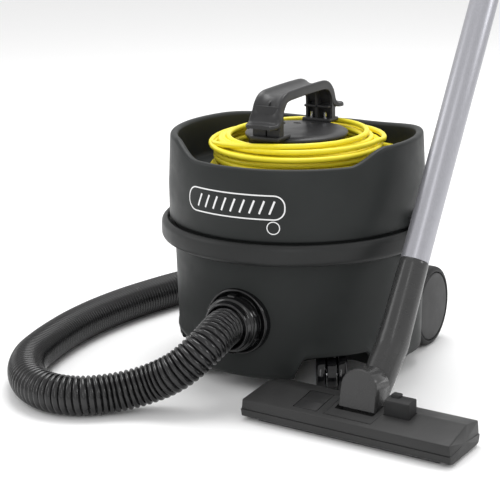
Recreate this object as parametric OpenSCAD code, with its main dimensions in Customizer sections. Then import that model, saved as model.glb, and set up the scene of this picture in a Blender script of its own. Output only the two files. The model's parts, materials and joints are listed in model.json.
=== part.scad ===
/* [Tub] */
// Radius of the drum at its base
drum_base_r = 144; // [143:0.5:145]
// Radius of the drum just below the rim band
drum_top_r = 147; // [146:0.5:147]
// Height of the drum's lower edge above the floor
drum_low_z = 18; // [16:1:20]
// Outer radius of the rim band
band_r = 163; // [162:0.5:164]
// Height of the rim band's lower edge
band_low_z = 157; // [157:1:160]
// Height of the rim band's upper edge
band_top_z = 182; // [180:1:183]
// Height of the hose inlet's axis
inlet_z = 86; // [82:1:90]

/* [Head] */
// Outer radius of the hood at its rim
hood_r = 150; // [150:0.5:151]
// Height of the hood's rim at the sides
rim_high_z = 283; // [280:1:290]
// Height of the hood's rim at the front
rim_low_z = 265; // [260:1:270]
// Angle from the front at which the low front rim starts, left of the inlet
rim_step_left = 38; // [30:1:45]
// Angle from the front at which the low front rim ends, right of the inlet
rim_step_right = 58; // [45:1:65]
// Height of the bowl's floor
bowl_z = 232; // [230:1:234]
// Radius of the disc on top of the winding hub
hub_disc_r = 61; // [60:1:61]
// Height of the disc's top face
hub_top_z = 284; // [283:1:286]
// Height of the carry handle's top
handle_top_z = 336; // [330:1:345]
// Reach of the handle's ears from the hub's axis
ear_reach = 92; // [84:1:96]
// Width of the carry handle
handle_w = 36; // [32:1:40]

/* [Wheels] */
// Diameter of the rear wheels
wheel_d = 100; // [98:1:102]
// Width of the rear wheels
wheel_w = 30; // [28:1:30]
// Distance of a rear wheel's outer face from the middle
wheel_out = 132; // [131:1:134]
// Distance of the rear axle behind the drum's axis
axle_y = 112; // [110:1:114]
// Diameter of the caster wheels
caster_d = 42; // [40:1:42]
// Distance of each caster's swivel axis to the side of the drum's axis
caster_x = 88; // [86:1:90]
// Distance of each caster's swivel axis in front of the drum's axis
caster_y = 84; // [82:1:86]
// Distance of the caster's axle from its swivel axis
caster_trail = 14; // [13:1:15]
// Direction in which the casters trail, from the front
caster_turn = 28; // [0:1:90]

/* [Hose and cord] */
// Outer diameter of the hose
hose_d = 45; // [44:1:46]
// Diameter of the mains cord
cord_d = 6.5; // [6.5:0.5:8]
// Outer radius of the wound cord
coil_r = 106; // [102:1:107]
// Height of the top of the wound cord
coil_top_z = 281; // [276:1:282]

/* [Wand and floor tool] */
// Outer diameter of the wand tubes
tube_d = 32; // [31.5:0.5:32]
// Wall thickness of the wand tubes
tube_wall = 1.2; // [1:0.1:1.5]
// Length of each wand tube
tube_len = 470; // [450:5:480]
// Lean of the wand from the vertical
wand_lean = 30; // [28:1:32]
// Lean of the neck's lower part from the vertical
neck_lean = 43.4; // [42:0.2:44]
// Width of the floor tool along its front edge
tool_w = 256; // [254:1:258]
// Reach of the floor tool in front of its middle
tool_front = 39; // [38:1:40]
// Reach of the floor tool behind its middle
tool_back = 35; // [34:1:36]
// Height of the ridge along the floor tool's top
tool_h = 33; // [33:1:35]
// Turn of the floor tool about the vertical, seen from above
tool_turn = -5; // [-8:1:0]
// Place of the floor tool's middle, to the right of the drum's axis
tool_x = 178; // [177:1:180]
// Place of the floor tool's middle, in front of the drum's axis
tool_y = 194; // [190:1:200]

/* [Hidden] */
$fn = 64;

// The part's origin lies under the middle of everything but the cord and the hose
origin_x = 67.8;
origin_y = 68.8;

// Radial play of a shaft that turns in its bore, and gap between parts that pass each other
run = 0.05;
gap = 0.4;
wall = 4;

// Drum, with the spaces under it for the wheels
seam_z = 170;
pocket_r = 51;
pocket_top = 48;
arch_r = 55;
wheel_r = wheel_d / 2;
wheel_in = wheel_out - wheel_w;
tyre_in = 43;
axle_r = 4;
channel_half = 12;
channel_top = wheel_r + 9;
rib_x = 72;
liner = 3;

// Hose inlet, bored through the drum's front
flange_r = 38;
flange_seat = 137;
flange_face = 150;
plug_r = 30;
inlet_bore_r = 26;

// Casters
caster_r = caster_d / 2;
fork_half = 5.5;
stem_r = 3.5;
pin_r = 2.5;

// Head, motor and filter
hood_wall = 7;
skirt_r = 147.5;
skirt_in = 142.5;
skirt_low = 172;
hood_low = 184;
plate_z = 175;
fan_r = 60;
fan_top = 200;
motor_r = 44;
bearing_r = 11;
bearing_h = 7;
shaft_r = 4;
motor_top = 262;
hub_r = 57;
console_top = 262;
flat_x = 150;
flare = 3;
flare_z = 222;
filter_top = 164;
bag_low = 66;

// Side clips
clip_x = 162;
clip_z = 151;
clip_w = 28;
recess_x = 157.5;
catch_z = 190;

// Mains cord
coil_in = 62;
cord_r = cord_d / 2;
gland_x = 54;
gland_y = 128;
gland_z = 245;
lead_route = [[54, 128, 245], [76, 114, 246], [94, 92, 248], [106, 66, 250], [110, 40, 253],
    [107, 16, 256]];
tail_route = [[-30, 103, 252], [-43, 107, 250], [-54, 110, 248], [-62, 110.5, 247],
    [-67, 108, 247]];
plug_turn = 44;

// The hose's middle line, from the inlet connector round the tub's left and back to the end cuff
hose_r = hose_d / 2;
function turn(x, y, r, from, to, steps) = [for (i = [0:steps])
    let (a = from + (to - from) * i / steps) [x + r * cos(a), y + r * sin(a), hose_r]];
hose_route = concat([
    [0, -150, 86], [0, -182, 86], [-4, -212, 74], [-27, -232, 50], [-57, -245, 33],
    [-89, -266, 24], [-120, -290, hose_r], [-155, -297, hose_r], [-192, -283, hose_r],
    [-224, -252, hose_r], [-247, -214, hose_r], [-259, -174, hose_r], [-267, -131, hose_r],
    [-272, -86, hose_r], [-272, -30, hose_r], [-264, 35, hose_r]],
    turn(-140.5, 77.6, 110, 161.8, 90, 4), turn(-100, 287.6, 100, -90, 90, 8),
    [[-175, 387.6, hose_r], [-255, 387.6, hose_r]], turn(-330, 487.6, 100, -90, -180, 4),
    [[-430, 540, hose_r], [-430, 595, 24], [-430, 642, 26]]);
cuff_x = -430;
cuff_y = 642;
cuff_z = 26;
cuff_turn = 90;
cuff_r = 26;
bell_r = 22.5;
cuff_len = 40;
bend_at = 120;
bend_r = 80;
bend_angle = 35;
bell_len = 55;
vent_at = 70;

// Wand and floor tool, in the tool's own frame
tube_r = tube_d / 2;
bore_r = tube_r - tube_wall;
pivot_y = 10.8;
pivot_z = 24;
bend_h = 84;
bend_y = (bend_h - pivot_z) * tan(neck_lean);
lower_len = (bend_h - pivot_z) / cos(neck_lean);
neck_x = 1.5;
neck_r = 18;
barrel_r = 16.5;
barrel_half = 21.5;
shoulder = 92.7;
spigot_len = 40;
wand_low = shoulder + gap;
wand_top = wand_low + tube_len;
tube_lap = 40;
well_half = 24;
well_front = 17;
pedal_left = [[-66, -30], [-37, 7]];
pedal_right = [[34, -9], [64.5, 8]];
pedal_low = 12;
pedal_travel = 16;
strip_y = [-29, 25];
strip_gap = 28;
brush_half = 112;
roller_r = 5;
roller_half = 8;
roller_x = 96;
roller_y = 13;
stub_r = 1.5;

// ---- frames ----

module in_frame() translate([-origin_x, -origin_y, 0]) children();

module on_caster(side) in_frame() translate([side * caster_x, -caster_y, 0])
    rotate([0, 0, caster_turn]) children();

module on_wheel(side) in_frame() translate([0, axle_y, wheel_r]) rotate([0, side * 90, 0]) children();

module on_tool() in_frame() translate([tool_x, -tool_y, 0]) rotate([0, 0, tool_turn]) children();

module on_pivot() on_tool() translate([neck_x, pivot_y, pivot_z]) children();

module on_lower_neck() on_pivot() rotate([-neck_lean, 0, 0]) children();

module on_wand() on_tool() translate([neck_x, pivot_y + bend_y, bend_h]) rotate([-wand_lean, 0, 0]) children();

module on_cuff() in_frame() translate([cuff_x, cuff_y, cuff_z]) rotate([0, 0, cuff_turn])
    rotate([0, 90, 0]) children();

module toward_front() rotate([90, 0, 0]) children();

// ---- shared shapes ----

module ring(r_in, r_out, z0, z1) translate([0, 0, z0]) difference() {
    cylinder(r = r_out, h = z1 - z0);
    translate([0, 0, -1]) cylinder(r = r_in, h = z1 - z0 + 2);
}

module block(low, high) translate(low) cube(high - low);

// A rod along X, centred
module rod(r, length) translate([-length / 2, 0, 0]) rotate([0, 90, 0]) cylinder(r = r, h = length);

// A wedge of the plane between two angles from the front, positive to the right
module sector(from, to, r) {
    steps = 8;
    polygon(concat([[0, 0]], [for (i = [0:steps])
        let (a = from + (to - from) * i / steps) r * [sin(a), -cos(a)]]));
}

function unit(v) = v / norm(v);
function tangent(path, i) = unit(path[min(i + 1, len(path) - 1)] - path[max(i - 1, 0)]);

// A tube swept along a route, as one closed solid
module swept_tube(path, r, sides) {
    rings = len(path);
    points = [for (i = [0:rings - 1]) let (
        t = tangent(path, i), across = unit(cross([0, 0, 1], t)), up = cross(t, across))
        for (k = [0:sides - 1]) let (a = 360 * k / sides)
            path[i] + r * cos(a) * across + r * sin(a) * up];
    walls = [for (i = [0:rings - 2], k = [0:sides - 1]) let (n = (k + 1) % sides)
        each [[i * sides + k, (i + 1) * sides + k, (i + 1) * sides + n],
              [i * sides + k, (i + 1) * sides + n, i * sides + n]]];
    ends = [for (k = [1:sides - 2]) each [[0, k, k + 1],
        [(rings - 1) * sides, (rings - 1) * sides + k + 1, (rings - 1) * sides + k]]];
    polyhedron(points = points, faces = concat(walls, ends), convexity = 6);
}

// ---- tub ----

module drum_solid() rotate_extrude() polygon([
    [0, drum_low_z], [drum_base_r - 6, drum_low_z], [drum_base_r - 1.5, drum_low_z + 2],
    [drum_base_r, drum_low_z + 6], [drum_top_r, band_low_z], [drum_top_r, seam_z], [0, seam_z]]);

module drum_hollow() rotate_extrude() polygon([
    [0, drum_low_z + wall], [drum_base_r - wall - 4, drum_low_z + wall],
    [drum_base_r - wall, drum_low_z + wall + 4], [drum_top_r - wall, band_low_z],
    [drum_top_r - wall, seam_z + 1], [0, seam_z + 1]]);

// The spaces that the drum leaves for its wheels, grown by the thickness of their liner
module wheel_spaces(grow) {
    for (side = [-1, 1]) {
        translate([side * caster_x, -caster_y, -1])
            cylinder(r = pocket_r + grow, h = pocket_top + 1 + grow);
        translate([side * (wheel_in - 4 - grow), axle_y, wheel_r]) rotate([0, side * 90, 0])
            cylinder(r = arch_r + grow, h = 60);
    }
    block([-wheel_in, axle_y - channel_half - grow, -1],
        [wheel_in, axle_y + channel_half + grow, channel_top + grow]);
}

// The drum's wall swells out in front of each rear wheel
module fenders() for (side = [-1, 1]) scale([side, 1, 1]) translate([0, 0, drum_low_z + 2])
    linear_extrude(height = 90)
        polygon([[131, 13], [144, 19], [142.5, 40], [138.5, 56.5], [127, 56.5]]);

module drum() color([0.20, 0.21, 0.21]) in_frame() difference() {
    union() {
        difference() {
            union() {
                difference() {
                    drum_solid();
                    drum_hollow();
                }
                fenders();
                intersection() {
                    drum_solid();
                    union() {
                        wheel_spaces(liner);
                        toward_front() translate([0, inlet_z, 124])
                            cylinder(r = flange_r + wall, h = 40);
                    }
                }
            }
            wheel_spaces(0);
        }
        for (side = [-1, 1]) {
            translate([side * caster_x, -caster_y, pocket_top]) cylinder(r = 9, h = 16);
            block([side * rib_x - 3, axle_y - channel_half - 1, wheel_r - 9],
                [side * rib_x + 3, axle_y + channel_half + 1, channel_top + 1]);
        }
    }
    toward_front() translate([0, inlet_z, flange_seat]) cylinder(r = flange_r, h = 40);
    toward_front() translate([0, inlet_z, 100]) cylinder(r = plug_r, h = 60);
    translate([0, axle_y, wheel_r]) rod(axle_r, 2 * wheel_out);
    for (side = [-1, 1]) translate([side * caster_x, -caster_y, pocket_top - 1])
        cylinder(r = stem_r + run, h = 14);
}

// The band, with a recess for each clip and two lugs under it for the clip's pin
module rim_band() color([0.24, 0.25, 0.25]) in_frame() difference() {
    union() {
        difference() {
            rotate_extrude() polygon([
                [skirt_r + 0.1, band_low_z], [band_r - 3, band_low_z],
                [band_r - 0.9, band_low_z + 1], [band_r, band_low_z + 4], [band_r, band_top_z - 5],
                [band_r - 1.5, band_top_z - 1.5], [band_r - 5, band_top_z],
                [skirt_r + 0.1, band_top_z]]);
            for (side = [-1, 1]) block(
                [side > 0 ? recess_x : -200, -clip_w / 2 - 6, band_low_z - 1],
                [side > 0 ? 200 : -recess_x, clip_w / 2 + 6, band_top_z + 1]);
        }
        for (side = [-1, 1], end = [-1, 1]) block(
            [side > 0 ? 150 : -clip_x - 5, end * (clip_w / 2 + 3) - 2.5, clip_z - 5],
            [side > 0 ? clip_x + 5 : -150, end * (clip_w / 2 + 3) + 2.5, band_low_z + 1.5]);
    }
    for (side = [-1, 1]) translate([side * clip_x, 0, clip_z]) rotate([90, 0, 0])
        cylinder(r = pin_r, h = clip_w + 20, center = true);
}

module inlet_flange() color([0.07, 0.07, 0.07]) in_frame() toward_front()
    translate([0, inlet_z, 0]) difference() {
        union() {
            translate([0, 0, flange_seat]) cylinder(r = flange_r, h = flange_face - flange_seat);
            translate([0, 0, 120]) cylinder(r = plug_r, h = flange_seat - 119);
        }
        translate([0, 0, 100]) cylinder(r = inlet_bore_r + run, h = 60);
    }

module inlet_connector() color([0.05, 0.05, 0.05]) in_frame() toward_front()
    translate([0, inlet_z, 0]) difference() {
        union() {
            translate([0, 0, 123]) cylinder(r = inlet_bore_r, h = 40);
            translate([0, 0, flange_face + gap]) cylinder(r = 33, h = 15);
            translate([0, 0, flange_face + gap]) cylinder(r = inlet_bore_r + 2, h = 24);
            for (a = [30:60:330]) rotate([0, 0, a])
                block([31, -4, flange_face + gap], [35, 4, flange_face + 12]);
        }
        translate([0, 0, 120]) cylinder(r = hose_r + 1, h = 60);
    }

module rear_axle() color([0.7, 0.7, 0.72]) in_frame() translate([0, axle_y, wheel_r])
    rod(axle_r, 2 * (wheel_out - 7));

module tyre(side) color([0.10, 0.10, 0.10]) on_wheel(side) rotate_extrude() polygon([
    [tyre_in, wheel_in + 1], [wheel_r - 5, wheel_in], [wheel_r - 1.5, wheel_in + 1.5],
    [wheel_r, wheel_in + 5], [wheel_r, wheel_out - 6], [wheel_r - 1.5, wheel_out - 2.5],
    [wheel_r - 5, wheel_out - 1], [tyre_in, wheel_out - 1]]);

module wheel_disc(side) color([0.16, 0.16, 0.16]) on_wheel(side)
    ring(axle_r + run, tyre_in, wheel_in + 3, wheel_out - 6);

module hubcap(side) color([0.33, 0.33, 0.33]) on_wheel(side)
    translate([0, 0, wheel_out - 6]) cylinder(r = tyre_in - 0.5, h = 6);

module caster_fork(side) color([0.04, 0.04, 0.04]) on_caster(side) difference() {
    union() {
        block([-fork_half, -caster_trail - 9, 13], [fork_half, 0, 36]);
        translate([0, 0, 24]) cylinder(r = fork_half, h = 18);
    }
    translate([0, -caster_trail, caster_r]) rod(pin_r, 20);
    translate([0, 0, 20]) cylinder(r = stem_r, h = 40);
}

module caster_wheels(side) color([0.06, 0.06, 0.06]) on_caster(side)
    translate([0, -caster_trail, caster_r]) rotate([0, 90, 0])
        for (end = [-1, 1]) ring(pin_r + run, caster_r, end * 12 - 6 + end * 0.3, end * 12 + 6);

module caster_axle(side) color([0.7, 0.7, 0.72]) on_caster(side)
    translate([0, -caster_trail, caster_r]) rod(pin_r, 34);

module caster_pin(side) color([0.8, 0.8, 0.82]) on_caster(side) union() {
    translate([0, 0, 27]) cylinder(r = stem_r, h = 33);
    translate([0, 0, 42.4]) cylinder(r = 7, h = 3.2);
}

// ---- inside the tub ----

module dust_bag() color([0.90, 0.88, 0.82]) in_frame() difference() {
    hull() {
        translate([0, 0, bag_low]) cylinder(r = 78, h = 2, $fn = 32);
        translate([0, 0, bag_low + 22]) cylinder(r = 98, h = 22, $fn = 32);
        translate([0, 0, bag_low + 56]) cylinder(r = 84, h = 2, $fn = 32);
    }
    block([-28, -110, inlet_z - 28], [28, -80, inlet_z + 28]);
}

module filter_cone() color([0.92, 0.92, 0.90]) in_frame() rotate_extrude() polygon([
    [0, 128], [92, 128], [126, filter_top], [122, filter_top], [90, 131], [0, 131]]);

module filter_ring() color([0.12, 0.12, 0.12]) in_frame() ring(112, 139.5, filter_top, seam_z - 0.5);

// ---- head ----

module head_seal() color([0.08, 0.08, 0.08]) in_frame() ring(skirt_in, drum_top_r, seam_z, skirt_low);

module motor_plate() color([0.14, 0.14, 0.14]) in_frame()
    ring(24, skirt_in - 0.5, skirt_low, plate_z);

module fan_housing() color([0.75, 0.76, 0.78]) in_frame() difference() {
    translate([0, 0, plate_z]) cylinder(r = fan_r + 8, h = fan_top - plate_z);
    translate([0, 0, plate_z + 2]) cylinder(r = fan_r + 6, h = fan_top - plate_z - 4);
    translate([0, 0, plate_z - 1]) cylinder(r = 24, h = 4);
    translate([0, 0, fan_top - 4]) cylinder(r = 14, h = 8);
}

module motor_frame() color([0.62, 0.63, 0.65]) in_frame() {
    ring(bearing_r, motor_r, fan_top, fan_top + bearing_h);
    ring(29, motor_r, fan_top + bearing_h, motor_top - bearing_h - 1);
    ring(bearing_r, motor_r, motor_top - bearing_h - 1, motor_top - 1);
}

module motor_rotor() color([0.72, 0.45, 0.20]) in_frame() {
    translate([0, 0, plate_z + 5]) cylinder(r = shaft_r, h = motor_top - plate_z - 3);
    translate([0, 0, fan_top + bearing_h + 3]) cylinder(r = 26, h = 34);
    translate([0, 0, plate_z + 6]) cylinder(r = fan_r, h = 2);
    for (a = [0:45:315]) rotate([0, 0, a])
        block([14, -1, plate_z + 7], [fan_r - 2, 1, fan_top - 8]);
}

module motor_bearings() color([0.6, 0.6, 0.6]) in_frame() {
    ring(shaft_r + run, bearing_r, fan_top, fan_top + bearing_h);
    ring(shaft_r + run, bearing_r, motor_top - bearing_h - 1, motor_top - 1);
}

module exhaust_foam() color([0.25, 0.25, 0.27]) in_frame() ring(74, 100, plate_z, bowl_z - wall - 6);

module circuit_board() color([0.10, 0.35, 0.18]) in_frame() {
    block([-22, 116, 208], [22, 138, 210]);
    block([-14, 120, 210], [-2, 132, 224]);
    block([6, 121, 210], [14, 129, 218]);
}

module head_shell() color([0.23, 0.24, 0.24]) in_frame() difference() {
    union() {
        difference() {
            rotate_extrude() polygon([
                [skirt_in, skirt_low], [skirt_r, skirt_low], [skirt_r, hood_low],
                [hood_r + flare - 1, hood_low], [hood_r + flare, hood_low + 2],
                [hood_r + flare, flare_z], [hood_r, rim_high_z - 2],
                [hood_r - 1, rim_high_z], [hood_r - hood_wall + 1, rim_high_z],
                [hood_r - hood_wall, rim_high_z - 2], [hood_r - hood_wall, bowl_z],
                [motor_r + 4, bowl_z], [motor_r + 4, bowl_z - wall], [skirt_in, bowl_z - wall]]);
            translate([0, 0, rim_low_z]) linear_extrude(height = 40)
                sector(-rim_step_left, rim_step_right, 200);
            for (side = [-1, 1]) block([side > 0 ? flat_x : -200, -60, hood_low - 5],
                [side > 0 ? 200 : -flat_x, 60, rim_high_z + 5]);
        }
        for (side = [-1, 1]) block(
            [side > 0 ? flat_x - 1 : -recess_x, -clip_w / 2 + 3, catch_z - 6],
            [side > 0 ? recess_x : 1 - flat_x, clip_w / 2 - 3, catch_z]);
        block([-32, 112, bowl_z - 1], [32, 142, console_top]);
    }
    block([-28, 115, bowl_z - wall - 1], [28, 139, console_top - 3]);
    block([-13, 120, console_top - 5], [13, 134, console_top + 1]);
    translate([20, gland_y, gland_z]) rotate([0, 90, 0]) cylinder(r = 6, h = 20);
    translate([0, 0, hood_low + 6]) linear_extrude(height = 34) sector(154, 206, 160);
}

module exhaust_grille() color([0.10, 0.10, 0.10]) in_frame() difference() {
    intersection() {
        ring(hood_r - 5, hood_r - 0.5, hood_low + 6, hood_low + 40);
        translate([0, 0, hood_low]) linear_extrude(height = 60) sector(154, 206, 160);
    }
    for (a = [-22.5:4.5:22.5]) rotate([0, 0, a])
        block([-3.5, 130, hood_low + 10], [3.5, 160, hood_low + 36]);
}

module switch_bezel() color([0.05, 0.05, 0.05]) in_frame() difference() {
    block([-16, 117.5, console_top], [16, 136.5, console_top + 2]);
    block([-12.5, 120.5, console_top - 1], [12.5, 133.5, console_top + 3]);
}

// The rocker turns about a line through its own pips, along Y
module rocker_switch() color([0.75, 0.08, 0.06]) in_frame() toward_front()
    translate([0, console_top, -133]) {
        linear_extrude(height = 12)
            polygon([[-11.5, 0], [-11.5, 5], [0, 1.8], [11.5, 2.6], [11.5, 0], [6, -6], [-6, -6]]);
        translate([0, 0, -0.4]) cylinder(r = 1.2, h = 12.8);
    }

module winding_hub() color([0.20, 0.21, 0.21]) in_frame() difference() {
    translate([0, 0, bowl_z]) cylinder(r = hub_r, h = hub_top_z - 8 - bowl_z);
    translate([0, 0, bowl_z - 1]) cylinder(r = hub_r - 3, h = hub_top_z - 10 - bowl_z);
}

module hub_disc() color([0.25, 0.26, 0.26]) in_frame() difference() {
    translate([0, 0, hub_top_z - 8]) cylinder(r = hub_disc_r, h = 8);
    for (x = [-9, 9], y = [-57, 57]) translate([x, y, hub_top_z - 9]) cylinder(r = 2.2, h = 10);
}

module carry_handle() color([0.25, 0.25, 0.25]) in_frame() difference() {
    translate([-handle_w / 2, 0, 0]) rotate([90, 0, 90]) linear_extrude(height = handle_w) polygon([
        [-ear_reach, 299], [-ear_reach, 304], [-81, 313], [-68, 326], [-44, handle_top_z],
        [40, handle_top_z], [64, 326], [79, 313], [ear_reach, 304], [ear_reach, 299],
        [72, 296], [68, hub_top_z], [50, hub_top_z], [50, 308], [40, 320],
        [-42, 320], [-52, 308], [-54, hub_top_z], [-68, hub_top_z], [-72, 296]]);
    for (x = [-9, 9], y = [-57, 57]) translate([x, y, hub_top_z - 1]) cylinder(r = 2, h = 13);
}

module handle_screws() color([0.7, 0.7, 0.72]) in_frame() for (x = [-9, 9], y = [-57, 57])
    translate([x, y, hub_top_z - 8]) cylinder(r = 2, h = 18);

// ---- side clips ----

module clip(side) color([0.10, 0.10, 0.10]) in_frame() translate([side * clip_x, 0, clip_z])
    rotate([0, 0, side > 0 ? 0 : 180]) difference() {
        union() {
            rotate([90, 0, 0]) cylinder(r = 5, h = clip_w, center = true);
            block([-2, -clip_w / 2, 0], [3, clip_w / 2, catch_z + 5.6 - clip_z]);
            block([flat_x + 1 - clip_x, -clip_w / 2 + 3, catch_z + gap - clip_z],
                [3, clip_w / 2 - 3, catch_z + 5.6 - clip_z]);
            block([1, -clip_w / 2, catch_z - 4 - clip_z], [5, clip_w / 2, catch_z + 5.6 - clip_z]);
        }
        rotate([90, 0, 0]) cylinder(r = pin_r + run, h = clip_w + 2, center = true);
    }

module clip_pins() color([0.7, 0.7, 0.72]) in_frame() for (side = [-1, 1])
    translate([side * clip_x, 0, clip_z]) rotate([90, 0, 0])
        cylinder(r = pin_r, h = clip_w + 10, center = true);

// ---- mains cord ----

module cord_gland() color([0.05, 0.05, 0.05]) in_frame() translate([28, gland_y, gland_z])
    rotate([0, 90, 0]) union() {
        cylinder(r = 6, h = 4);
        translate([0, 0, 4]) cylinder(r = 8, h = 3);
        translate([0, 0, 7]) cylinder(r = 6, h = gland_x - 35);
    }

module mains_lead() color([0.93, 0.82, 0.15]) in_frame() swept_tube(lead_route, cord_r, 8);

module mains_coil() color([0.95, 0.85, 0.15]) in_frame() ring(coil_in, coil_r, bowl_z + 0.2, coil_top_z);

module mains_tail() color([0.93, 0.82, 0.15]) in_frame() swept_tube(tail_route, cord_r, 8);

module mains_plug() color([0.06, 0.06, 0.06]) in_frame() translate([-67, 108, 247])
    rotate([0, 0, 180 + plug_turn]) rotate([0, 90, 0]) {
        cylinder(r = 6, h = 14);
        translate([0, 0, 14]) cylinder(r = 13, h = 26);
        for (y = [-9.5, 9.5]) translate([0, y, 40]) cylinder(r = 2.4, h = 16);
    }

// ---- hose ----

module hose_tube() color([0.08, 0.08, 0.08]) in_frame() swept_tube(hose_route, hose_r, 12);

module end_cuff() color([0.06, 0.06, 0.06]) on_cuff() difference() {
    translate([0, 0, -22]) cylinder(r = cuff_r, h = 22 + cuff_len);
    translate([0, 0, -23]) cylinder(r = hose_r + 0.6, h = 24);
    translate([0, 0, -5]) cylinder(r = tube_r, h = cuff_len + 10);
}

module after_bend() translate([0, bend_r * (cos(bend_angle) - 1), bend_at + bend_r * sin(bend_angle)])
    rotate([bend_angle, 0, 0]) children();

// A straight tube, a bend with slightly thicker walls, and the bell on its far end
module bend_tube() color([0.10, 0.10, 0.10]) on_cuff() difference() {
    union() {
        ring(tube_r - 2, tube_r, 4, bend_at + 1);
        translate([0, -bend_r, bend_at]) rotate([90, 0, 90]) rotate_extrude(angle = bend_angle)
            translate([bend_r, 0]) difference() {
                circle(r = tube_r + 0.4);
                circle(r = tube_r - 2.4);
            }
        after_bend() {
            ring(tube_r - 2, tube_r, -1, 18);
            ring(tube_r - 2, bell_r, 17, 22);
            ring(tube_r + run, bell_r, 22, bell_len);
        }
    }
    translate([-30, 0, vent_at]) rotate([0, 90, 0]) cylinder(r = 5, h = 30);
}

module airflow_slider() color([0.45, 0.45, 0.45]) on_cuff()
    ring(tube_r + run, tube_r + 2.5, vent_at - 11, vent_at + 11);

// ---- floor tool ----

// The tool's section from front to back, along its whole width
module tool_section() translate([-tool_w / 2, 0, 0]) rotate([90, 0, 90])
    linear_extrude(height = tool_w) polygon([[-tool_front, 5], [-tool_front, 24.6],
        [6, tool_h], [tool_back, 28], [tool_back, 5]]);

// The section within the tool's leaning ends and its plan, which narrows towards the back
module tool_outline() intersection() {
    tool_section();
    toward_front() translate([0, 0, -100]) linear_extrude(height = 200) polygon([
        [-tool_w / 2, 0], [-tool_w / 2 + 4, tool_h + 1], [tool_w / 2 - 4, tool_h + 1],
        [tool_w / 2, 0]]);
    linear_extrude(height = 60) polygon([
        [-tool_w / 2, -tool_front], [tool_w / 2, -tool_front], [tool_w / 2 - 5, tool_back - 11],
        [tool_w / 2 - 20, tool_back], [20 - tool_w / 2, tool_back],
        [5 - tool_w / 2, tool_back - 11]]);
}

module tool_housing() color([0.28, 0.28, 0.28]) on_tool() difference() {
    tool_outline();
    block([-tool_w / 2 + 9, -tool_front + 4, 0], [tool_w / 2 - 9, tool_back - 4, 17]);
    block([neck_x - well_half, -well_front, 0], [neck_x + well_half, 60, 60]);
    for (span = [pedal_left, pedal_right])
        block([span[0][0] - gap, span[0][1] - gap, 0], [span[1][0] + gap, span[1][1] + gap, 60]);
    translate([neck_x, pivot_y, pivot_z]) rod(3, 61);
}

// The sole, with its mouth and slots, and a pair of bearings for each roller
module sole_plate() color([0.62, 0.62, 0.64]) on_tool() difference() {
    union() {
        difference() {
            block([-tool_w / 2 + 10, -tool_front + 5, 3], [tool_w / 2 - 10, tool_back - 5, 5.5]);
            block([-60, -14, 2], [60, 6, 7]);
            for (y = strip_y) block([-brush_half - 1, y - 3, 2], [brush_half + 1, y + 3, 7]);
            for (side = [-1, 1]) block([side * roller_x - 11, roller_y - 6.5, 2],
                [side * roller_x + 11, roller_y + 6.5, 7]);
        }
        for (side = [-1, 1], end = [-1, 1]) translate([side * roller_x + end * 11, roller_y, 5.5])
            cube([3, 6, 5], center = true);
    }
    for (side = [-1, 1]) translate([side * roller_x, roller_y, roller_r]) rod(stub_r + run, 40);
}

// Two rows of bristle on one carrier, joined across the tool above the sole; the rear row
// leaves room for the neck
module brush_strips() color([0.15, 0.15, 0.15]) on_tool() {
    block([-brush_half, strip_y[0] - 2, 0], [brush_half, strip_y[0] + 2, 10]);
    for (side = [-1, 1]) {
        block([side > 0 ? strip_gap : -brush_half, strip_y[1] - 2, 0],
            [side > 0 ? brush_half : -strip_gap, strip_y[1] + 2, 10]);
        block([side * 74 - 3, strip_y[0], 7], [side * 74 + 3, strip_y[1], 10]);
    }
}

module pedal(span, rise) color([0.22, 0.22, 0.22]) on_tool() translate([0, 0, rise])
    intersection() {
        tool_section();
        block([span[0][0], span[0][1], pedal_low], [span[1][0], span[1][1], 60]);
    }

module tool_rollers() color([0.5, 0.5, 0.5]) on_tool() for (side = [-1, 1])
    translate([side * roller_x, roller_y, roller_r]) {
        rod(roller_r, 2 * roller_half);
        rod(stub_r, 25);
    }

// The elbow is a little wider than both its lengths; the upper one narrows to the wand's width
// and carries a spigot that the wand turns on
module neck() color([0.29, 0.29, 0.29]) difference() {
    union() {
        on_pivot() rod(barrel_r, 2 * barrel_half);
        on_lower_neck() translate([0, 0, 6]) cylinder(r = neck_r, h = lower_len - 6);
        on_wand() sphere(r = neck_r + 0.8);
        on_wand() cylinder(r1 = neck_r + 0.3, r2 = tube_r + 0.3, h = shoulder);
        on_wand() translate([0, 0, shoulder - 1]) cylinder(r = bore_r - run, h = spigot_len + 1);
    }
    on_lower_neck() translate([0, 0, -30]) cylinder(r = 13, h = lower_len + 30);
    on_wand() sphere(r = 13.6);
    on_wand() cylinder(r = 12.5, h = shoulder + spigot_len + 1);
    on_pivot() rod(3 + run, 80);
}

module neck_pin() color([0.7, 0.7, 0.72]) on_pivot()
    for (side = [-1, 1]) translate([side * 23, 0, 0]) rod(3, 15);

module wand_lower() color([0.66, 0.66, 0.72]) on_wand() ring(bore_r, tube_r, wand_low, wand_top);

module wand_upper() color([0.66, 0.66, 0.72]) on_wand() translate([0, 0, wand_top]) {
    ring(tube_r + run, tube_r + 1.4, -tube_lap, 0.2);
    ring(bore_r, tube_r + 1.4, 0.2, 5);
    ring(bore_r, tube_r, 5, tube_len - tube_lap);
}

// ---- the parts, one by one ----

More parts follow.
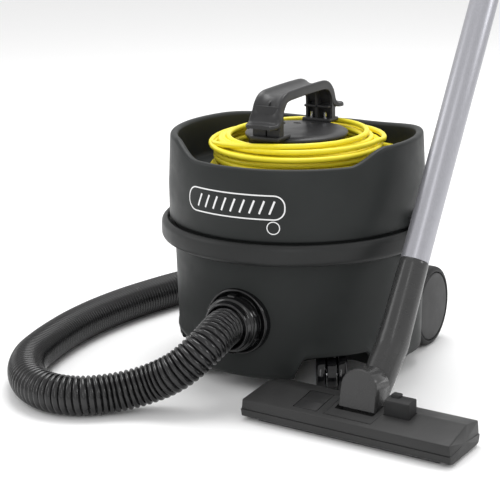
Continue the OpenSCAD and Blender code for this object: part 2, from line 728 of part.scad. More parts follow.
drum();
rim_band();
inlet_flange();
inlet_connector();
rear_axle();
tyre(-1);  // tyre_left
wheel_disc(-1);  // wheel_disc_left
hubcap(-1);  // hubcap_left
tyre(1);  // tyre_right
wheel_disc(1);  // wheel_disc_right
hubcap(1);  // hubcap_right
caster_fork(-1);  // caster_fork_left
caster_wheels(-1);  // caster_wheels_left
caster_axle(-1);  // caster_axle_left
caster_pin(-1);  // caster_pin_left
caster_fork(1);  // caster_fork_right
caster_wheels(1);  // caster_wheels_right
caster_axle(1);  // caster_axle_right
caster_pin(1);  // caster_pin_right
dust_bag();
filter_cone();
filter_ring();
head_seal();
motor_plate();
fan_housing();
motor_frame();
motor_rotor();
motor_bearings();
exhaust_foam();
circuit_board();
head_shell();
exhaust_grille();
switch_bezel();
rocker_switch();
winding_hub();
hub_disc();
carry_handle();
handle_screws();
clip(-1);  // clip_left
clip(1);  // clip_right
clip_pins();
cord_gland();
mains_lead();
mains_coil();
mains_tail();
mains_plug();
hose_tube();
end_cuff();
bend_tube();
airflow_slider();
tool_housing();
sole_plate();
brush_strips();
pedal(pedal_left, 0);
pedal(pedal_right, pedal_travel);
tool_rollers();
neck();
neck_pin();
wand_lower();
wand_upper();
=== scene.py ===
"""A tub vacuum cleaner with its hose, wand and floor tool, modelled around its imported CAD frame."""
import json
from functools import partial
from math import atan2, copysign, cos, hypot, pi, radians, sin, tan

import bmesh
import bpy
import numpy as np
from mathutils import Matrix, Vector


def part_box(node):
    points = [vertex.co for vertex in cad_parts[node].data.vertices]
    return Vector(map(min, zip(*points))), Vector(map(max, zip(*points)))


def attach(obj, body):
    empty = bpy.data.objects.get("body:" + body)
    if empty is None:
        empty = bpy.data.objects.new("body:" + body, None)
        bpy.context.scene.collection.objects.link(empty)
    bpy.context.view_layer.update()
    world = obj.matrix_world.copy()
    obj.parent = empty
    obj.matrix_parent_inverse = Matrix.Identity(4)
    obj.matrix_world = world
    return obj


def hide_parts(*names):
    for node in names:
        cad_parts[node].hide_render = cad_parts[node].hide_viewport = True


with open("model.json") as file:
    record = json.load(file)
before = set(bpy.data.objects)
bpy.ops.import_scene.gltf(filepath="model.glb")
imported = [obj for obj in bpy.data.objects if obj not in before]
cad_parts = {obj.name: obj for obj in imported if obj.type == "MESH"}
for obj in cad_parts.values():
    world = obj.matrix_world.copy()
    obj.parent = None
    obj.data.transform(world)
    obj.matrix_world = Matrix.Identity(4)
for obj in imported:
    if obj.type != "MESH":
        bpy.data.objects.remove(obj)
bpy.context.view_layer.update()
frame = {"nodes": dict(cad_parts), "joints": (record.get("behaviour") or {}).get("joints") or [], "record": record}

MM = 0.001
JOINTS = {joint["name"]: joint for joint in frame["joints"]}


# ---- frames: lengths inside them are in millimetres ----

def frame_at(origin, x_axis, z_axis):
    """A frame in millimetres at a point of the row frame, from its X and Z directions."""
    z = Vector(z_axis).normalized()
    x = Vector(x_axis).normalized()
    y = z.cross(x)
    rotation = Matrix((x, y, z)).transposed().to_4x4()
    return Matrix.Translation(origin) @ rotation @ Matrix.Scale(MM, 4)


def top_of(node):
    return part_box(node)[1].z / MM


def centre_of(node):
    low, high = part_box(node)
    return (low + high) / 2


X, Y, Z = Vector((1, 0, 0)), Vector((0, 1, 0)), Vector((0, 0, 1))
ALONG_X = Matrix(((0, 0, 1, 0), (1, 0, 0, 0), (0, 1, 0, 0), (0, 0, 0, 1)))
QUARTER_X = Matrix.Rotation(pi / 2, 4, "X")
QUARTER_Y = Matrix.Rotation(pi / 2, 4, "Y")
tub_centre = centre_of("rim_band")
TUB = frame_at((tub_centre.x, tub_centre.y, 0), X, Z)

tilt = JOINTS["neck_tilt"]
pivot = Vector(tilt["pos_m"])
NECK_X, PIVOT_Y, PIVOT_Z = 1.5, 10.8, pivot.z / MM
TOOL = frame_at((pivot.x, pivot.y, 0), -Vector(tilt["axis"]), Z) \
    @ Matrix.Translation((-NECK_X, -PIVOT_Y, 0))

SWIVEL_AT = 60
swivel = JOINTS["wand_swivel"]
wand_way = Vector(swivel["axis"]).normalized()
WAND = frame_at(Vector(swivel["pos_m"]) - SWIVEL_AT * MM * wand_way, -Vector(tilt["axis"]),
    wand_way)

VENT_AT = 70
cuff_way = Vector(JOINTS["airflow_slide"]["axis"]).normalized()
CUFF = frame_at(centre_of("airflow_slider") - VENT_AT * MM * cuff_way, -Z, cuff_way)


def wheel_frame(side):
    """On a rear wheel's axis, in the machine's middle plane, with Z out towards the wheel."""
    place = Vector(JOINTS[f"rear_wheel_{side}_spin"]["pos_m"])
    out = X if side == "right" else -X
    return frame_at((tub_centre.x, place.y, place.z), Y, out)


def caster_frame(side):
    """On a caster's swivel axis, on the floor, with X along its wheels' axle."""
    place = Vector(JOINTS[f"caster_{side}_swivel"]["pos_m"])
    return frame_at((place.x, place.y, 0), JOINTS[f"caster_{side}_spin"]["axis"], Z)


def add_object(name, data):
    """An object with this data, put into the scene."""
    made = bpy.data.objects.new(name, data)
    bpy.context.scene.collection.objects.link(made)
    return made


# ---- camera ----

CAMERA_AT = (873.6, -1643.0, 645.8)
AZIMUTH, PITCH, ROLL = radians(29.77), 0.2681, -0.0154
LENS = 114.72


def make_camera():
    """The camera, placed from the tub's own axis."""
    forward = Vector((-sin(AZIMUTH) * cos(PITCH), cos(AZIMUTH) * cos(PITCH), -sin(PITCH)))
    flat_right = Vector((cos(AZIMUTH), sin(AZIMUTH), 0))
    flat_up = flat_right.cross(forward)
    right = cos(ROLL) * flat_right + sin(ROLL) * flat_up
    up = -sin(ROLL) * flat_right + cos(ROLL) * flat_up
    data = bpy.data.cameras.new("camera")
    data.sensor_width = 36
    data.lens = LENS
    data.clip_end = 50
    camera = add_object("camera", data)
    rotation = Matrix((right, up, -forward)).transposed().to_4x4()
    camera.matrix_world = Matrix.Translation(TUB @ Vector(CAMERA_AT)) @ rotation
    bpy.context.scene.camera = camera


# ---- geometry: a form is (points, faces), and a frame places it ----

def rounded(corners, closed=True, steps=4):
    """An outline through corners (x, y, radius), each corner eased by a short curve."""
    line = []
    count = len(corners)
    for i, (x, y, radius) in enumerate(corners):
        here = Vector((x, y))
        at_end = not closed and i in (0, count - 1)
        if radius <= 0 or at_end:
            line.append((x, y))
            continue
        before = Vector(corners[i - 1][:2]) - here
        after = Vector(corners[(i + 1) % count][:2]) - here
        start = here + before.normalized() * min(radius, 0.48 * before.length)
        end = here + after.normalized() * min(radius, 0.48 * after.length)
        for k in range(steps + 1):
            t = k / steps
            line.append(tuple((1 - t) ** 2 * start + 2 * t * (1 - t) * here + t ** 2 * end))
    return line


def loft(rings, closed_path=False, closed_ring=True, caps=True):
    """Faces between successive rings of points, with flat ends if the path is open."""
    count, size = len(rings), len(rings[0])
    points = [tuple(p) for ring in rings for p in ring]
    faces = []
    for i in range(count if closed_path else count - 1):
        j = (i + 1) % count
        for k in range(size if closed_ring else size - 1):
            n = (k + 1) % size
            faces.append((i * size + k, i * size + n, j * size + n, j * size + k))
    if caps and not closed_path and closed_ring:
        faces.append(tuple(reversed(range(size))))
        faces.append(tuple(range((count - 1) * size, count * size)))
    return points, faces


def around(count):
    """Evenly spaced angles of one full turn."""
    return [2 * pi * k / count for k in range(count)]


def lathe(outline, sides=96, closed=True):
    """A solid of revolution about Z, from an outline of (radius, height)."""
    rings = [[polar(r, a, z) for a in around(sides)] for r, z in outline]
    return loft(rings, closed_path=closed)


def polar(radius, angle, z):
    return Vector((radius * cos(angle), radius * sin(angle), z))


def stood_up(outline, angle):
    """An outline of (radius, height), stood upright at an angle from the machine's front."""
    return [(r * sin(angle), -r * cos(angle), z) for r, z in outline]


def superellipse(rx, ry, power, count=48):
    """An oval outline: an ellipse where the power is 1, and squarer below that."""
    ring = []
    for a in around(count):
        c, s = cos(a), sin(a)
        ring.append((rx * copysign(abs(c) ** power, c), ry * copysign(abs(s) ** power, s)))
    return ring


def prism(outline, low, high, ease=0.0):
    """An outline (x, y) extruded along Z, its two rims eased by a small chamfer."""
    centre = Vector((sum(p[0] for p in outline), sum(p[1] for p in outline))) / len(outline)

    def shrunk(z):
        ring = []
        for x, y in outline:
            inward = centre - Vector((x, y))
            inward = inward.normalized() * min(ease, inward.length / 2) if inward.length else inward
            ring.append((x + inward.x, y + inward.y, z))
        return ring

    plain = [[(x, y, z) for x, y in outline] for z in (low + ease, high - ease)]
    if not ease:
        return loft(plain)
    return loft([shrunk(low), *plain, shrunk(high)])


def join(*forms):
    points, faces = [], []
    for form_points, form_faces in forms:
        start = len(points)
        points.extend(form_points)
        faces.extend(tuple(start + i for i in face) for face in form_faces)
    return points, faces


def moved(form, matrix):
    return [tuple(matrix @ Vector(p)) for p in form[0]], form[1]


def shifted(form, x=0, y=0, z=0):
    return moved(form, Matrix.Translation((x, y, z)))


def box(corner, opposite, ease=1.0):
    """A block between two opposite corners, with eased edges."""
    (x0, x1), (y0, y1), (z0, z1) = (sorted(pair) for pair in zip(corner, opposite))
    outline = rounded([(x0, y0, ease), (x1, y0, ease), (x1, y1, ease), (x0, y1, ease)], steps=3)
    return prism(outline, z0, z1, ease * 0.5)


def smooth_step(t):
    t = min(1, max(0, t))
    return t * t * (3 - 2 * t)


def curve_points(route, per_span=8):
    """A smooth line through a route's points."""
    route = [Vector(p) for p in route]
    ends = [2 * route[0] - route[1], *route, 2 * route[-1] - route[-2]]
    line = []
    for i in range(1, len(ends) - 2):
        a, b, c, d = ends[i - 1:i + 3]
        for k in range(per_span):
            t = k / per_span
            line.append(0.5 * (2 * b + (c - a) * t + (2 * a - 5 * b + 4 * c - d) * t ** 2
                + (3 * b - a - 3 * c + d) * t ** 3))
    return line + [route[-1]]


# ---- objects ----

def mesh_of(name, form, place):
    mesh = bpy.data.meshes.new(name)
    mesh.from_pydata([place @ Vector(p) for p in form[0]], [], form[1])
    return mesh


def smooth(mesh, sharp=35):
    """Smooth shading, with edges kept sharp from this angle in degrees."""
    mesh.polygons.foreach_set("use_smooth", [True] * len(mesh.polygons))
    mesh.set_sharp_from_angle(angle=radians(sharp))


def piece(name, form, material, nodes=(), place=None, body="tub", slot=True, sharp=38):
    """A mesh object made from a form, which rides on a body and stands for CAD nodes.

    It sits in the tub's frame and on the tub, unless another frame or body is given.
    The slot argument is not used."""
    mesh = mesh_of(name, form, TUB if place is None else place)
    mesh.validate()
    mesh.update()
    tidy_normals(mesh)
    smooth(mesh, sharp)
    mesh.materials.append(MATERIAL[material])
    made = add_object(name, mesh)
    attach(made, body)
    if nodes:
        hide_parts(*nodes)
    return made


def tidy_normals(mesh):
    """Turns every closed shell's faces outwards."""
    work = bmesh.new()
    work.from_mesh(mesh)
    bmesh.ops.recalc_face_normals(work, faces=work.faces)
    work.to_mesh(mesh)
    work.free()


def skin_of(node, form, material, place=None, body="tub", **look):
    """A piece that stands for one CAD node and is named after it."""
    return piece(node + "_skin", form, material, [node], place, body, **look)


def cut(target, place, *forms):
    """Takes other solids away from an object's mesh."""
    for form in forms:
        mesh = mesh_of("cutter", form, place)
        tidy_normals(mesh)
        cutter = add_object("cutter", mesh)
        modifier = target.modifiers.new("cut", "BOOLEAN")
        modifier.operation = "DIFFERENCE"
        modifier.solver = "EXACT"
        modifier.object = cutter
        bpy.context.view_layer.update()
        graph = bpy.context.evaluated_depsgraph_get()
        result = bpy.data.meshes.new_from_object(target.evaluated_get(graph))
        target.modifiers.clear()
        target.data = result
        bpy.data.objects.remove(cutter)
    smooth(target.data)


# ---- materials ----

def add_node(tree, kind, inputs=None, **settings):
    """A shader node with some of its settings and input values filled in."""
    node = tree.nodes.new(kind)
    for key, value in settings.items():
        setattr(node, key, value)
    for key, value in (inputs or {}).items():
        node.inputs[key].default_value = value
    return node


def new_material(name, colour, roughness, metallic=0.0, specular=0.5):
    material = bpy.data.materials.new(name)
    material.use_nodes = True
    shader = material.node_tree.nodes["Principled BSDF"]
    shader.inputs["Base Color"].default_value = (*colour, 1)
    shader.inputs["Roughness"].default_value = roughness
    shader.inputs["Metallic"].default_value = metallic
    shader.inputs["Specular IOR Level"].default_value = specular
    return material, material.node_tree, shader


def noise(tree, scale, detail, stretch=(1, 1, 1), turn=(0, 0, 0)):
    """A noise pattern in object space, in metres, stretched along the axes."""
    place = add_node(tree, "ShaderNodeTexCoord")
    mapping = add_node(tree, "ShaderNodeMapping", {"Scale": stretch, "Rotation": turn})
    pattern = add_node(tree, "ShaderNodeTexNoise", {"Scale": scale, "Detail": detail})
    tree.links.new(place.outputs["Object"], mapping.inputs["Vector"])
    tree.links.new(mapping.outputs["Vector"], pattern.inputs["Vector"])
    return pattern.outputs["Fac"]


def ranged(tree, value, low, high):
    """A noise pattern's middle range, spread between two values."""
    node = add_node(tree, "ShaderNodeMapRange", {"From Min": 0.3, "From Max": 0.7, "To Min": low,
        "To Max": high})
    tree.links.new(value, node.inputs["Value"])
    return node.outputs["Result"]


def tinted(tree, shader, value, dark, light):
    """Mixes the base colour from two tones, by a pattern."""
    mix = add_node(tree, "ShaderNodeMix", {"A": (*dark, 1), "B": (*light, 1)}, data_type="RGBA")
    tree.links.new(value, mix.inputs["Factor"])
    tree.links.new(mix.outputs["Result"], shader.inputs["Base Color"])


def bumped(tree, shader, height, strength, distance):
    bump = add_node(tree, "ShaderNodeBump", {"Strength": strength, "Distance": distance})
    tree.links.new(height, bump.inputs["Height"])
    tree.links.new(bump.outputs["Normal"], shader.inputs["Normal"])


def plastic(name, colour, roughness, specular=0.4, grain=2600, depth=0.00002, spread=0.05,
            tone=0.12):
    """Moulded plastic: an even colour with faint clouding, spark-eroded grain and uneven gloss."""
    material, tree, shader = new_material(name, colour, roughness, specular=specular)
    cloud = noise(tree, 14, 3)
    tinted(tree, shader, ranged(tree, cloud, 0, 1), [c * (1 - tone) for c in colour],
           [c * (1 + tone) for c in colour])
    tree.links.new(ranged(tree, noise(tree, 55, 5), roughness - spread, roughness + spread),
        shader.inputs["Roughness"])
    bumped(tree, shader, noise(tree, grain, 2), 0.35, depth)
    return material


def metal(name, colour, roughness, stretch=(1, 1, 1), turn=(0, 0, 0), metallic=1.0):
    """Metal with fine drawn lines along the direction that the pattern is stretched in."""
    material, tree, shader = new_material(name, colour, roughness, metallic=metallic)
    lines = noise(tree, 900, 3, stretch, turn)
    tinted(tree, shader, ranged(tree, lines, 0, 1), [c * 0.94 for c in colour],
           [min(1, c * 1.05) for c in colour])
    tree.links.new(ranged(tree, lines, roughness - 0.05, roughness + 0.06),
        shader.inputs["Roughness"])
    bumped(tree, shader, lines, 0.25, 0.00001)
    return material


def cloth(name, colour, scale=1500):
    """Non-woven or woven filter cloth, with a fine crossed texture and a soft sheen."""
    material, tree, shader = new_material(name, colour, 0.92, specular=0.2)
    shader.inputs["Sheen Weight"].default_value = 0.3
    fibres = noise(tree, scale, 6, (1, 1, 0.3))
    tinted(tree, shader, ranged(tree, fibres, 0, 1), [c * 0.8 for c in colour], colour)
    bumped(tree, shader, fibres, 0.6, 0.0002)
    return material


def make_materials():
    """Every material by its name. The values follow the arguments of its kind."""
    lean = Vector(swivel["axis"]).to_track_quat("Z", "Y").inverted().to_euler()
    rows = [
        (plastic, "drum_plastic", (0.019, 0.0210, 0.0206), 0.48, 0.17),
        (plastic, "hood_plastic", (0.022, 0.0240, 0.0236), 0.45, 0.18),
        (plastic, "band_plastic", (0.023, 0.0238, 0.0238), 0.42, 0.20),
        (plastic, "handle_plastic", (0.033, 0.0330, 0.0340), 0.38, 0.26),
        (plastic, "gloss_black", (0.006, 0.006, 0.0065), 0.16, 0.5, 1200, 0.000004, 0.04),
        (plastic, "caster_black", (0.005, 0.005, 0.0055), 0.14, 0.4, 1200, 0.000004, 0.04),
        (plastic, "tyre_rubber", (0.016, 0.016, 0.0165), 0.62, 0.3, 3200, 0.00004, 0.06),
        (plastic, "hubcap_grey", (0.032, 0.032, 0.0326), 0.46, 0.18),
        (plastic, "wheel_core", (0.012, 0.012, 0.012), 0.50),
        (plastic, "hose_plastic", (0.007, 0.007, 0.0075), 0.23, 0.5, 1500, 0.00001),
        (plastic, "cord_yellow", (0.90, 0.77, 0.030), 0.36, 0.45, 2200, 0.00001, 0.06, 0.06),
        (metal, "wand_metal", (0.38, 0.38, 0.41), 0.36, (1, 1, 0.02), lean, 0.65),
        (plastic, "tool_plastic", (0.032, 0.032, 0.0321), 0.44, 0.22),
        (plastic, "neck_plastic", (0.036, 0.036, 0.0362), 0.27, 0.40),
        (plastic, "pedal_plastic", (0.020, 0.020, 0.0204), 0.50, 0.22),
        (cloth, "bristle", (0.02, 0.02, 0.02), 2500),
        (metal, "sole_steel", (0.55, 0.55, 0.57), 0.34, (0.02, 1, 1)),
        (metal, "bare_steel", (0.72, 0.72, 0.74), 0.18),
        (cloth, "bag_fleece", (0.80, 0.78, 0.70)),
        (cloth, "filter_cloth", (0.82, 0.82, 0.78)),
        (plastic, "seal_rubber", (0.014, 0.014, 0.0145), 0.6, 0.3),
        (plastic, "inner_plastic", (0.014, 0.014, 0.0144), 0.5, 0.2),
        (metal, "motor_steel", (0.5, 0.5, 0.52), 0.38),
        (metal, "copper", (0.60, 0.28, 0.12), 0.35),
        (cloth, "foam", (0.06, 0.06, 0.065), 700),
        (plastic, "board", (0.02, 0.12, 0.05), 0.4),
        (plastic, "switch_red", (0.50, 0.014, 0.010), 0.25, 0.5, 1500, 0.000006, 0.04),
        (plastic, "cuff_rubber", (0.012, 0.012, 0.0122), 0.55, 0.35),
        (plastic, "slider_grey", (0.13, 0.13, 0.135), 0.35),
        (plastic, "mark_white", (0.80, 0.80, 0.80), 0.4, 0.4, 2600, 0.00002, 0.05, 0.03)]
    return {name: kind(name, *values) for kind, name, *values in rows}


MATERIAL = make_materials()
SLOT = {row["node"]: row["material_slot"] for row in frame["record"]["subparts"]}


def dress_cad_nodes():
    """Every CAD node takes its slot's material, whether or not a piece stands for it later."""
    for name, node in frame["nodes"].items():
        node.data.materials.clear()
        node.data.materials.append(MATERIAL[SLOT[name]])
        smooth(node.data)


# ---- hose ----

HOSE_R = 22.5


def floor_turn(x, y, radius, start, end, steps):
    """Points on an arc of the hose's route, where the hose lies on the floor."""
    angles = [radians(start + (end - start) * k / steps) for k in range(steps + 1)]
    return [(x + radius * cos(a), y + radius * sin(a), HOSE_R) for a in angles]


HOSE_ROUTE = [
    (0, -150, 86), (0, -182, 86), (-4, -212, 74), (-27, -232, 50), (-57, -245, 33),
    (-89, -266, 24), *((x, y, HOSE_R) for x, y in (
        (-120, -290), (-155, -297), (-192, -283), (-224, -252), (-247, -214), (-259, -174),
        (-267, -131), (-272, -86), (-272, -30), (-264, 35))),
    *floor_turn(-140.5, 77.6, 110, 161.8, 90, 4), *floor_turn(-100, 287.6, 100, -90, 90, 8),
    (-175, 387.6, HOSE_R), (-255, 387.6, HOSE_R), *floor_turn(-330, 487.6, 100, -90, -180, 4),
    (-430, 540, HOSE_R), (-430, 595, 24), (-430, 642, 26)]
RIB = [(u, 1 - sin(pi * u) ** 0.75) for u in (0, 0.07, 0.18, 0.32, 0.5, 0.68, 0.82, 0.93)]


def rib_pitch(s):
    """The hose's rib spacing: stretched open past the inlet, closed up where it lies in a curl."""
    opening = smooth_step((s - 20) / 70) * (1 - smooth_step((s - 300) / 120))
    return 4.9 + 1.7 * opening


def swept_hose():
    """The ribbed skin of the hose: one strip that winds round the route, as long as it takes."""
    sides, per_rib = 40, len(RIB)
    line = curve_points(HOSE_ROUTE, 12)
    along = np.concatenate([[0], np.cumsum([(b - a).length for a, b in zip(line, line[1:])])])
    total = float(along[-1])
    xyz = np.array(line)
    slope = np.gradient(xyz, along, axis=0)
    starts = [0.0]
    while starts[-1] + 2 * rib_pitch(starts[-1]) < total:
        starts.append(starts[-1] + rib_pitch(starts[-1]))
    points = []
    for start in starts:
        pitch = rib_pitch(start)
        depth = 2.6 + 0.5 * (pitch - 4.9) / 1.7
        for part, groove in RIB:
            for k in range(sides):
                s = start + pitch * (part + k / sides)
                centre = Vector([float(np.interp(s, along, xyz[:, i])) for i in range(3)])
                tangent = Vector([float(np.interp(s, along, slope[:, i])) for i in range(3)])
                across = Z.cross(tangent).normalized()
                upward = tangent.normalized().cross(across)
                a = 2 * pi * k / sides
                points.append(centre + (HOSE_R - depth * groove) * (cos(a) * across + sin(a)
                    * upward))
    faces = []
    for i in range(len(starts) * per_rib - 1):
        for k in range(sides - 1):
            faces.append((i * sides + k, i * sides + k + 1, (i + 1) * sides + k + 1,
                (i + 1) * sides + k))
        if i + per_rib + 1 < len(starts) * per_rib:
            last, first = i * sides + sides - 1, (i + per_rib) * sides
            faces.append((last, first, first + sides, last + sides))
    return (points, faces), line, total


def make_hose():
    form, line, total = swept_hose()
    hose = piece("hose_skin", form, "hose_plastic", ["hose_tube"], sharp=80)
    cuff = make_end_cuff()


def make_end_cuff():
    """The soft cuff on the hose's far end, with grip rings."""
    outline = [(23.0, -22, 0.5), (24.6, -22, 1), (26, -18, 2)]
    for z in range(-14, 12, 6):
        outline += [(26, z, 1), (24.8, z + 1.5, 0.8), (24.8, z + 2.5, 0.8), (26, z + 4, 1)]
    outline += [(26, 20, 5), (21, 39, 2), (17.5, 40, 1), (16.2, 40, 0.5), (16.2, 1, 0.5),
        (23.0, 1, 0.5)]
    return piece("cuff_skin", lathe(rounded(outline, steps=2), 64), "cuff_rubber", ["end_cuff"],
        CUFF)


# ---- mains cord ----

CORD_R = 3.25
LEAD_ROUTE = [(54, 128, 245), (76, 114, 246), (95, 92, 245), (107, 66, 242), (110, 40, 239),
    (106, 12, 237)]
TAIL_ROUTE = [(-30, 103, 252), (-43, 107, 250), (-54, 110, 248), (-62, 110.5, 247), (-67, 108, 247)]
TURNS = 18


def turn_place(t):
    """Radius and height of the wound cord after t turns, which climb in layers of three."""
    layer, step = divmod(t, 3)
    inner = 82.5 + 3.5 * sin(1.9 * layer + 0.6)
    outward = step / 2 if step < 2 else 1.0
    fraction = outward if int(layer) % 2 == 0 else 1 - outward
    rise = smooth_step((step - 2) / 1.0) if step > 2 else 0
    return inner + 16.5 * fraction, 236.5 + 7.4 * (layer + rise)


def wound_cord():
    """The cord's turns: loose loops, each a little off centre, wound clockwise from low to high."""
    per_turn = 40
    line = []
    start = atan2(16, 107)
    for k in range(TURNS * per_turn + 1):
        t = k / per_turn
        angle = start - 2 * pi * t
        radius, z = turn_place(min(t, TURNS - 0.001))
        off = 0.35 + 2.2 * smooth_step((t - 11) / 5)
        radius += off * cos(angle - 2.1 * t) + 0.8 * sin(2 * angle + 0.7 * t)
        z += 0.5 * sin(angle * 2 + t) + 1.2 * smooth_step((t - 14) / 3) * sin(angle + t)
        line.append(polar(radius, angle, z))
    return line


def make_cord():
    coil = wound_cord()
    lead = curve_points([*LEAD_ROUTE, coil[8], coil[9]], 6)
    last = coil[-1]
    bridge = []
    end_angle = atan2(last.y, last.x)
    goal = Vector(TAIL_ROUTE[0])
    goal_angle = atan2(goal.y, goal.x)
    sweep = (end_angle - goal_angle) % (2 * pi)
    for k in range(1, 20):
        t = k / 20
        angle = end_angle - sweep * t
        radius = (1 - smooth_step(t)) * hypot(last.x, last.y) + smooth_step(t) * 107.3
        radius += 2.5 * sin(pi * t)
        z = last.z + (goal.z - last.z) * smooth_step((t - 0.3) / 0.7)
        bridge.append(polar(radius, angle, z))
    line = lead + coil[10:] + bridge + curve_points(TAIL_ROUTE, 6)
    line = [TUB @ p for p in line]
    data = bpy.data.curves.new("mains_cord", "CURVE")
    data.dimensions = "3D"
    data.bevel_depth = CORD_R * MM
    data.bevel_resolution = 4
    data.use_fill_caps = True
    spline = data.splines.new("POLY")
    spline.points.add(len(line) - 1)
    for point, place in zip(spline.points, line):
        point.co = (*place, 1)
    spline.use_smooth = True
    data.materials.append(MATERIAL["cord_yellow"])
    cord = add_object("mains_cord", data)
    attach(cord, "tub")
    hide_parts("mains_lead", "mains_coil", "mains_tail")
    plug = make_plug()
    gland = make_gland()


def make_plug():
    """A moulded plug: ribbed relief, waisted body with a flat face, and two pins."""
    base = Vector(TAIL_ROUTE[-1])
    turn = radians(224)
    way = polar(1, turn, 0)
    axes = Matrix((way.cross(Z) * -1, Z, way)).transposed().to_4x4()
    place = TUB @ Matrix.Translation(base) @ axes
    relief = lathe(rounded([(0.5, 0, 0), (4.6, 0, 0.6), (5.0, 3, 0.6), (4.4, 4, 0.4), (5.4, 7, 0.6),
        (4.8, 8, 0.4), (6, 12, 0.6), (6, 16, 0), (0.5, 16, 0)], steps=2), 40, False)
    rings = []
    for z, wide, thick in ((13, 6.5, 6), (15, 9.5, 7), (20, 11.5, 7.5), (30, 12.5, 8.5),
            (37, 12.5, 9), (39.5, 11.8, 8.4), (40, 11, 7.8)):
        rings.append([(x, y, z) for x, y in superellipse(wide, thick, 0.7)])
    pins = []
    for x in (-9.5, 9.5):
        pin = lathe(rounded([(0.3, 39, 0), (2.4, 39, 0), (2.4, 55, 1.6), (0.3, 56, 0)], steps=3),
            24, False)
        pins.append(shifted(pin, x=x))
    return piece("plug_skin", join(relief, loft(rings), *pins), "gloss_black", ["mains_plug"],
        place)


def make_gland():
    """The tapered strain relief where the cord leaves the switch console."""
    place = TUB @ Matrix.Translation((28, 128, 245)) @ QUARTER_Y
    outline = [(3.6, 0, 0), (8, 0, 0.8), (8, 6, 0.8), (6.0, 6.4, 0.4)]
    for i in range(5):
        z = 8 + 3.6 * i
        r = 5.9 - 0.3 * i
        outline += [(r, z, 0.5), (r, z + 2.2, 0.5), (r - 0.9, z + 2.4, 0.3),
            (r - 0.9, z + 3.3, 0.3)]
    outline += [(4.4, 26, 0.5), (3.6, 26, 0)]
    return piece("gland_skin", lathe(rounded(outline, steps=2), 40), "seal_rubber", ["cord_gland"],
        place)


# ---- tub ----

BAND_R = (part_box("rim_band")[1].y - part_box("rim_band")[0].y) / 2 / MM
BAND_TOP = top_of("rim_band")
BAND_LOW = BAND_TOP - 25
DRUM_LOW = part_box("drum")[0].z / MM
DRUM_BASE_R, DRUM_TOP_R = 144.2, 147.0
DRUM_INNER_R = 139.0
HOOD_R, HOOD_FLARE, FLARE_LOW, FLARE_HIGH = 150, 3, 222, 281
RIM_Z, FRONT_DIP, BACK_DIP = 283.0, 17.5, 12.5
BOWL_Z = 232.2
CLIP_SEAT, CLIP_LUG_Y = 157.5, 17
CLIP_X = JOINTS["clip_right_open"]["pos_m"][0] / MM - tub_centre.x / MM


def drum_edge(angle):
    """Height of the drum's lower edge at an angle, arched over each caster and rear wheel."""
    away = abs(angle)
    arch = 0.0
    if away < 100:
        arch = 27.5 * smooth_step((away - 23.5) / 8.5) * smooth_step((69.0 - away) / 8.5)
    if 100 < away < 150:
        arch = 66 * smooth_step((away - 112.5) / 8) * smooth_step((133 - away) / 3.5)
    return DRUM_LOW - 0.4 + arch


def fender(angle, z):
    """How far the drum swells out in front of a rear wheel."""
    away = abs(angle)
    round_it = smooth_step((away - 92) / 16) * smooth_step((115.5 - away) / 2.5)
    return 5.8 * round_it * (1 - smooth_step((z - 100) / 12))


def drum_wall(angle, z):
    """Radius of the drum's outer wall, which widens a little towards the band."""
    widening = (DRUM_TOP_R - DRUM_BASE_R) * (z - DRUM_LOW) / (BAND_LOW - DRUM_LOW)
    return DRUM_BASE_R + widening + fender(angle, z)


def make_drum_skin():
    """The drum's outer wall: a slight taper, a rounded foot and a moulded lip round each arch."""
    rings = []
    count = 480
    for k in range(count):
        angle = 360 * k / count - 180
        low = drum_edge(angle)
        arched = smooth_step((low - DRUM_LOW) / 8)
        out, inward = 0.5 + 1.2 * arched, 5.5 - 3.2 * arched

        wall = partial(drum_wall, angle)
        outline = [(wall(BAND_LOW), BAND_LOW + 4), (wall(BAND_LOW - 4), BAND_LOW - 4)]
        for t in (0.75, 0.5, 0.3, 0.18):
            z = low + inward + 4 + (BAND_LOW - 14 - low) * t
            outline.append((wall(z), z))
        outline += [(wall(low + 9), low + 9), (wall(low + 6.5) + (out - 0.5) * 0.6, low + 6.5)]
        for t in (0, 25, 50, 75, 90):
            a = radians(t)
            outline.append((wall(low) + out - 0.5 - inward * (1 - cos(a)),
                low + inward * (1 - sin(a))))
        outline += [(wall(low) - inward - 3, low), (wall(low) - inward - 4, low + 1.5),
            (DRUM_INNER_R, low + 8), (DRUM_INNER_R, BAND_LOW + 4)]
        rings.append(stood_up(outline, radians(angle)))
    skin = piece("drum_skin", loft(rings, closed_path=True), "drum_plastic", sharp=50)
    hole = lathe([(0, 100), (39.4, 100), (39.4, 200), (0, 200)])
    cut(skin, INLET, hole)


def make_rim_band():
    """The rim band with its round lower edge and rolled top edge, and the clips' seats and lugs."""
    outline = rounded([
        (148.2, BAND_LOW, 0), (BAND_R - 4.5, BAND_LOW, 3), (BAND_R + 0.1, BAND_LOW + 4, 3.5),
        (BAND_R + 0.3, BAND_LOW + 13, 4), (BAND_R - 0.4, BAND_TOP - 3.6, 3),
        (BAND_R - 4.6, BAND_TOP + 0.4, 2.6), (BAND_R - 8.2, BAND_TOP - 0.4, 1.6),
        (BAND_R - 9.0, BAND_TOP - 5, 1), (148.2, BAND_TOP - 5.5, 0)], steps=5)
    band = piece("band_skin", lathe(outline, 192), "band_plastic", ["rim_band"], sharp=60)
    seats = [box((side * CLIP_SEAT, -20, BAND_LOW - 5), (side * 190, 20, BAND_TOP + 8), 0.5)
        for side in (-1, 1)]
    cut(band, TUB, *seats)
    lugs = [box((side * 151, y - 2.4, BAND_LOW - 10.6), (side * (CLIP_X + 4.6), y + 2.4,
        BAND_LOW + 1.4), 0.8) for side in (-1, 1) for y in (-CLIP_LUG_Y, CLIP_LUG_Y)]
    piece("clip_lugs", join(*lugs), "band_plastic")


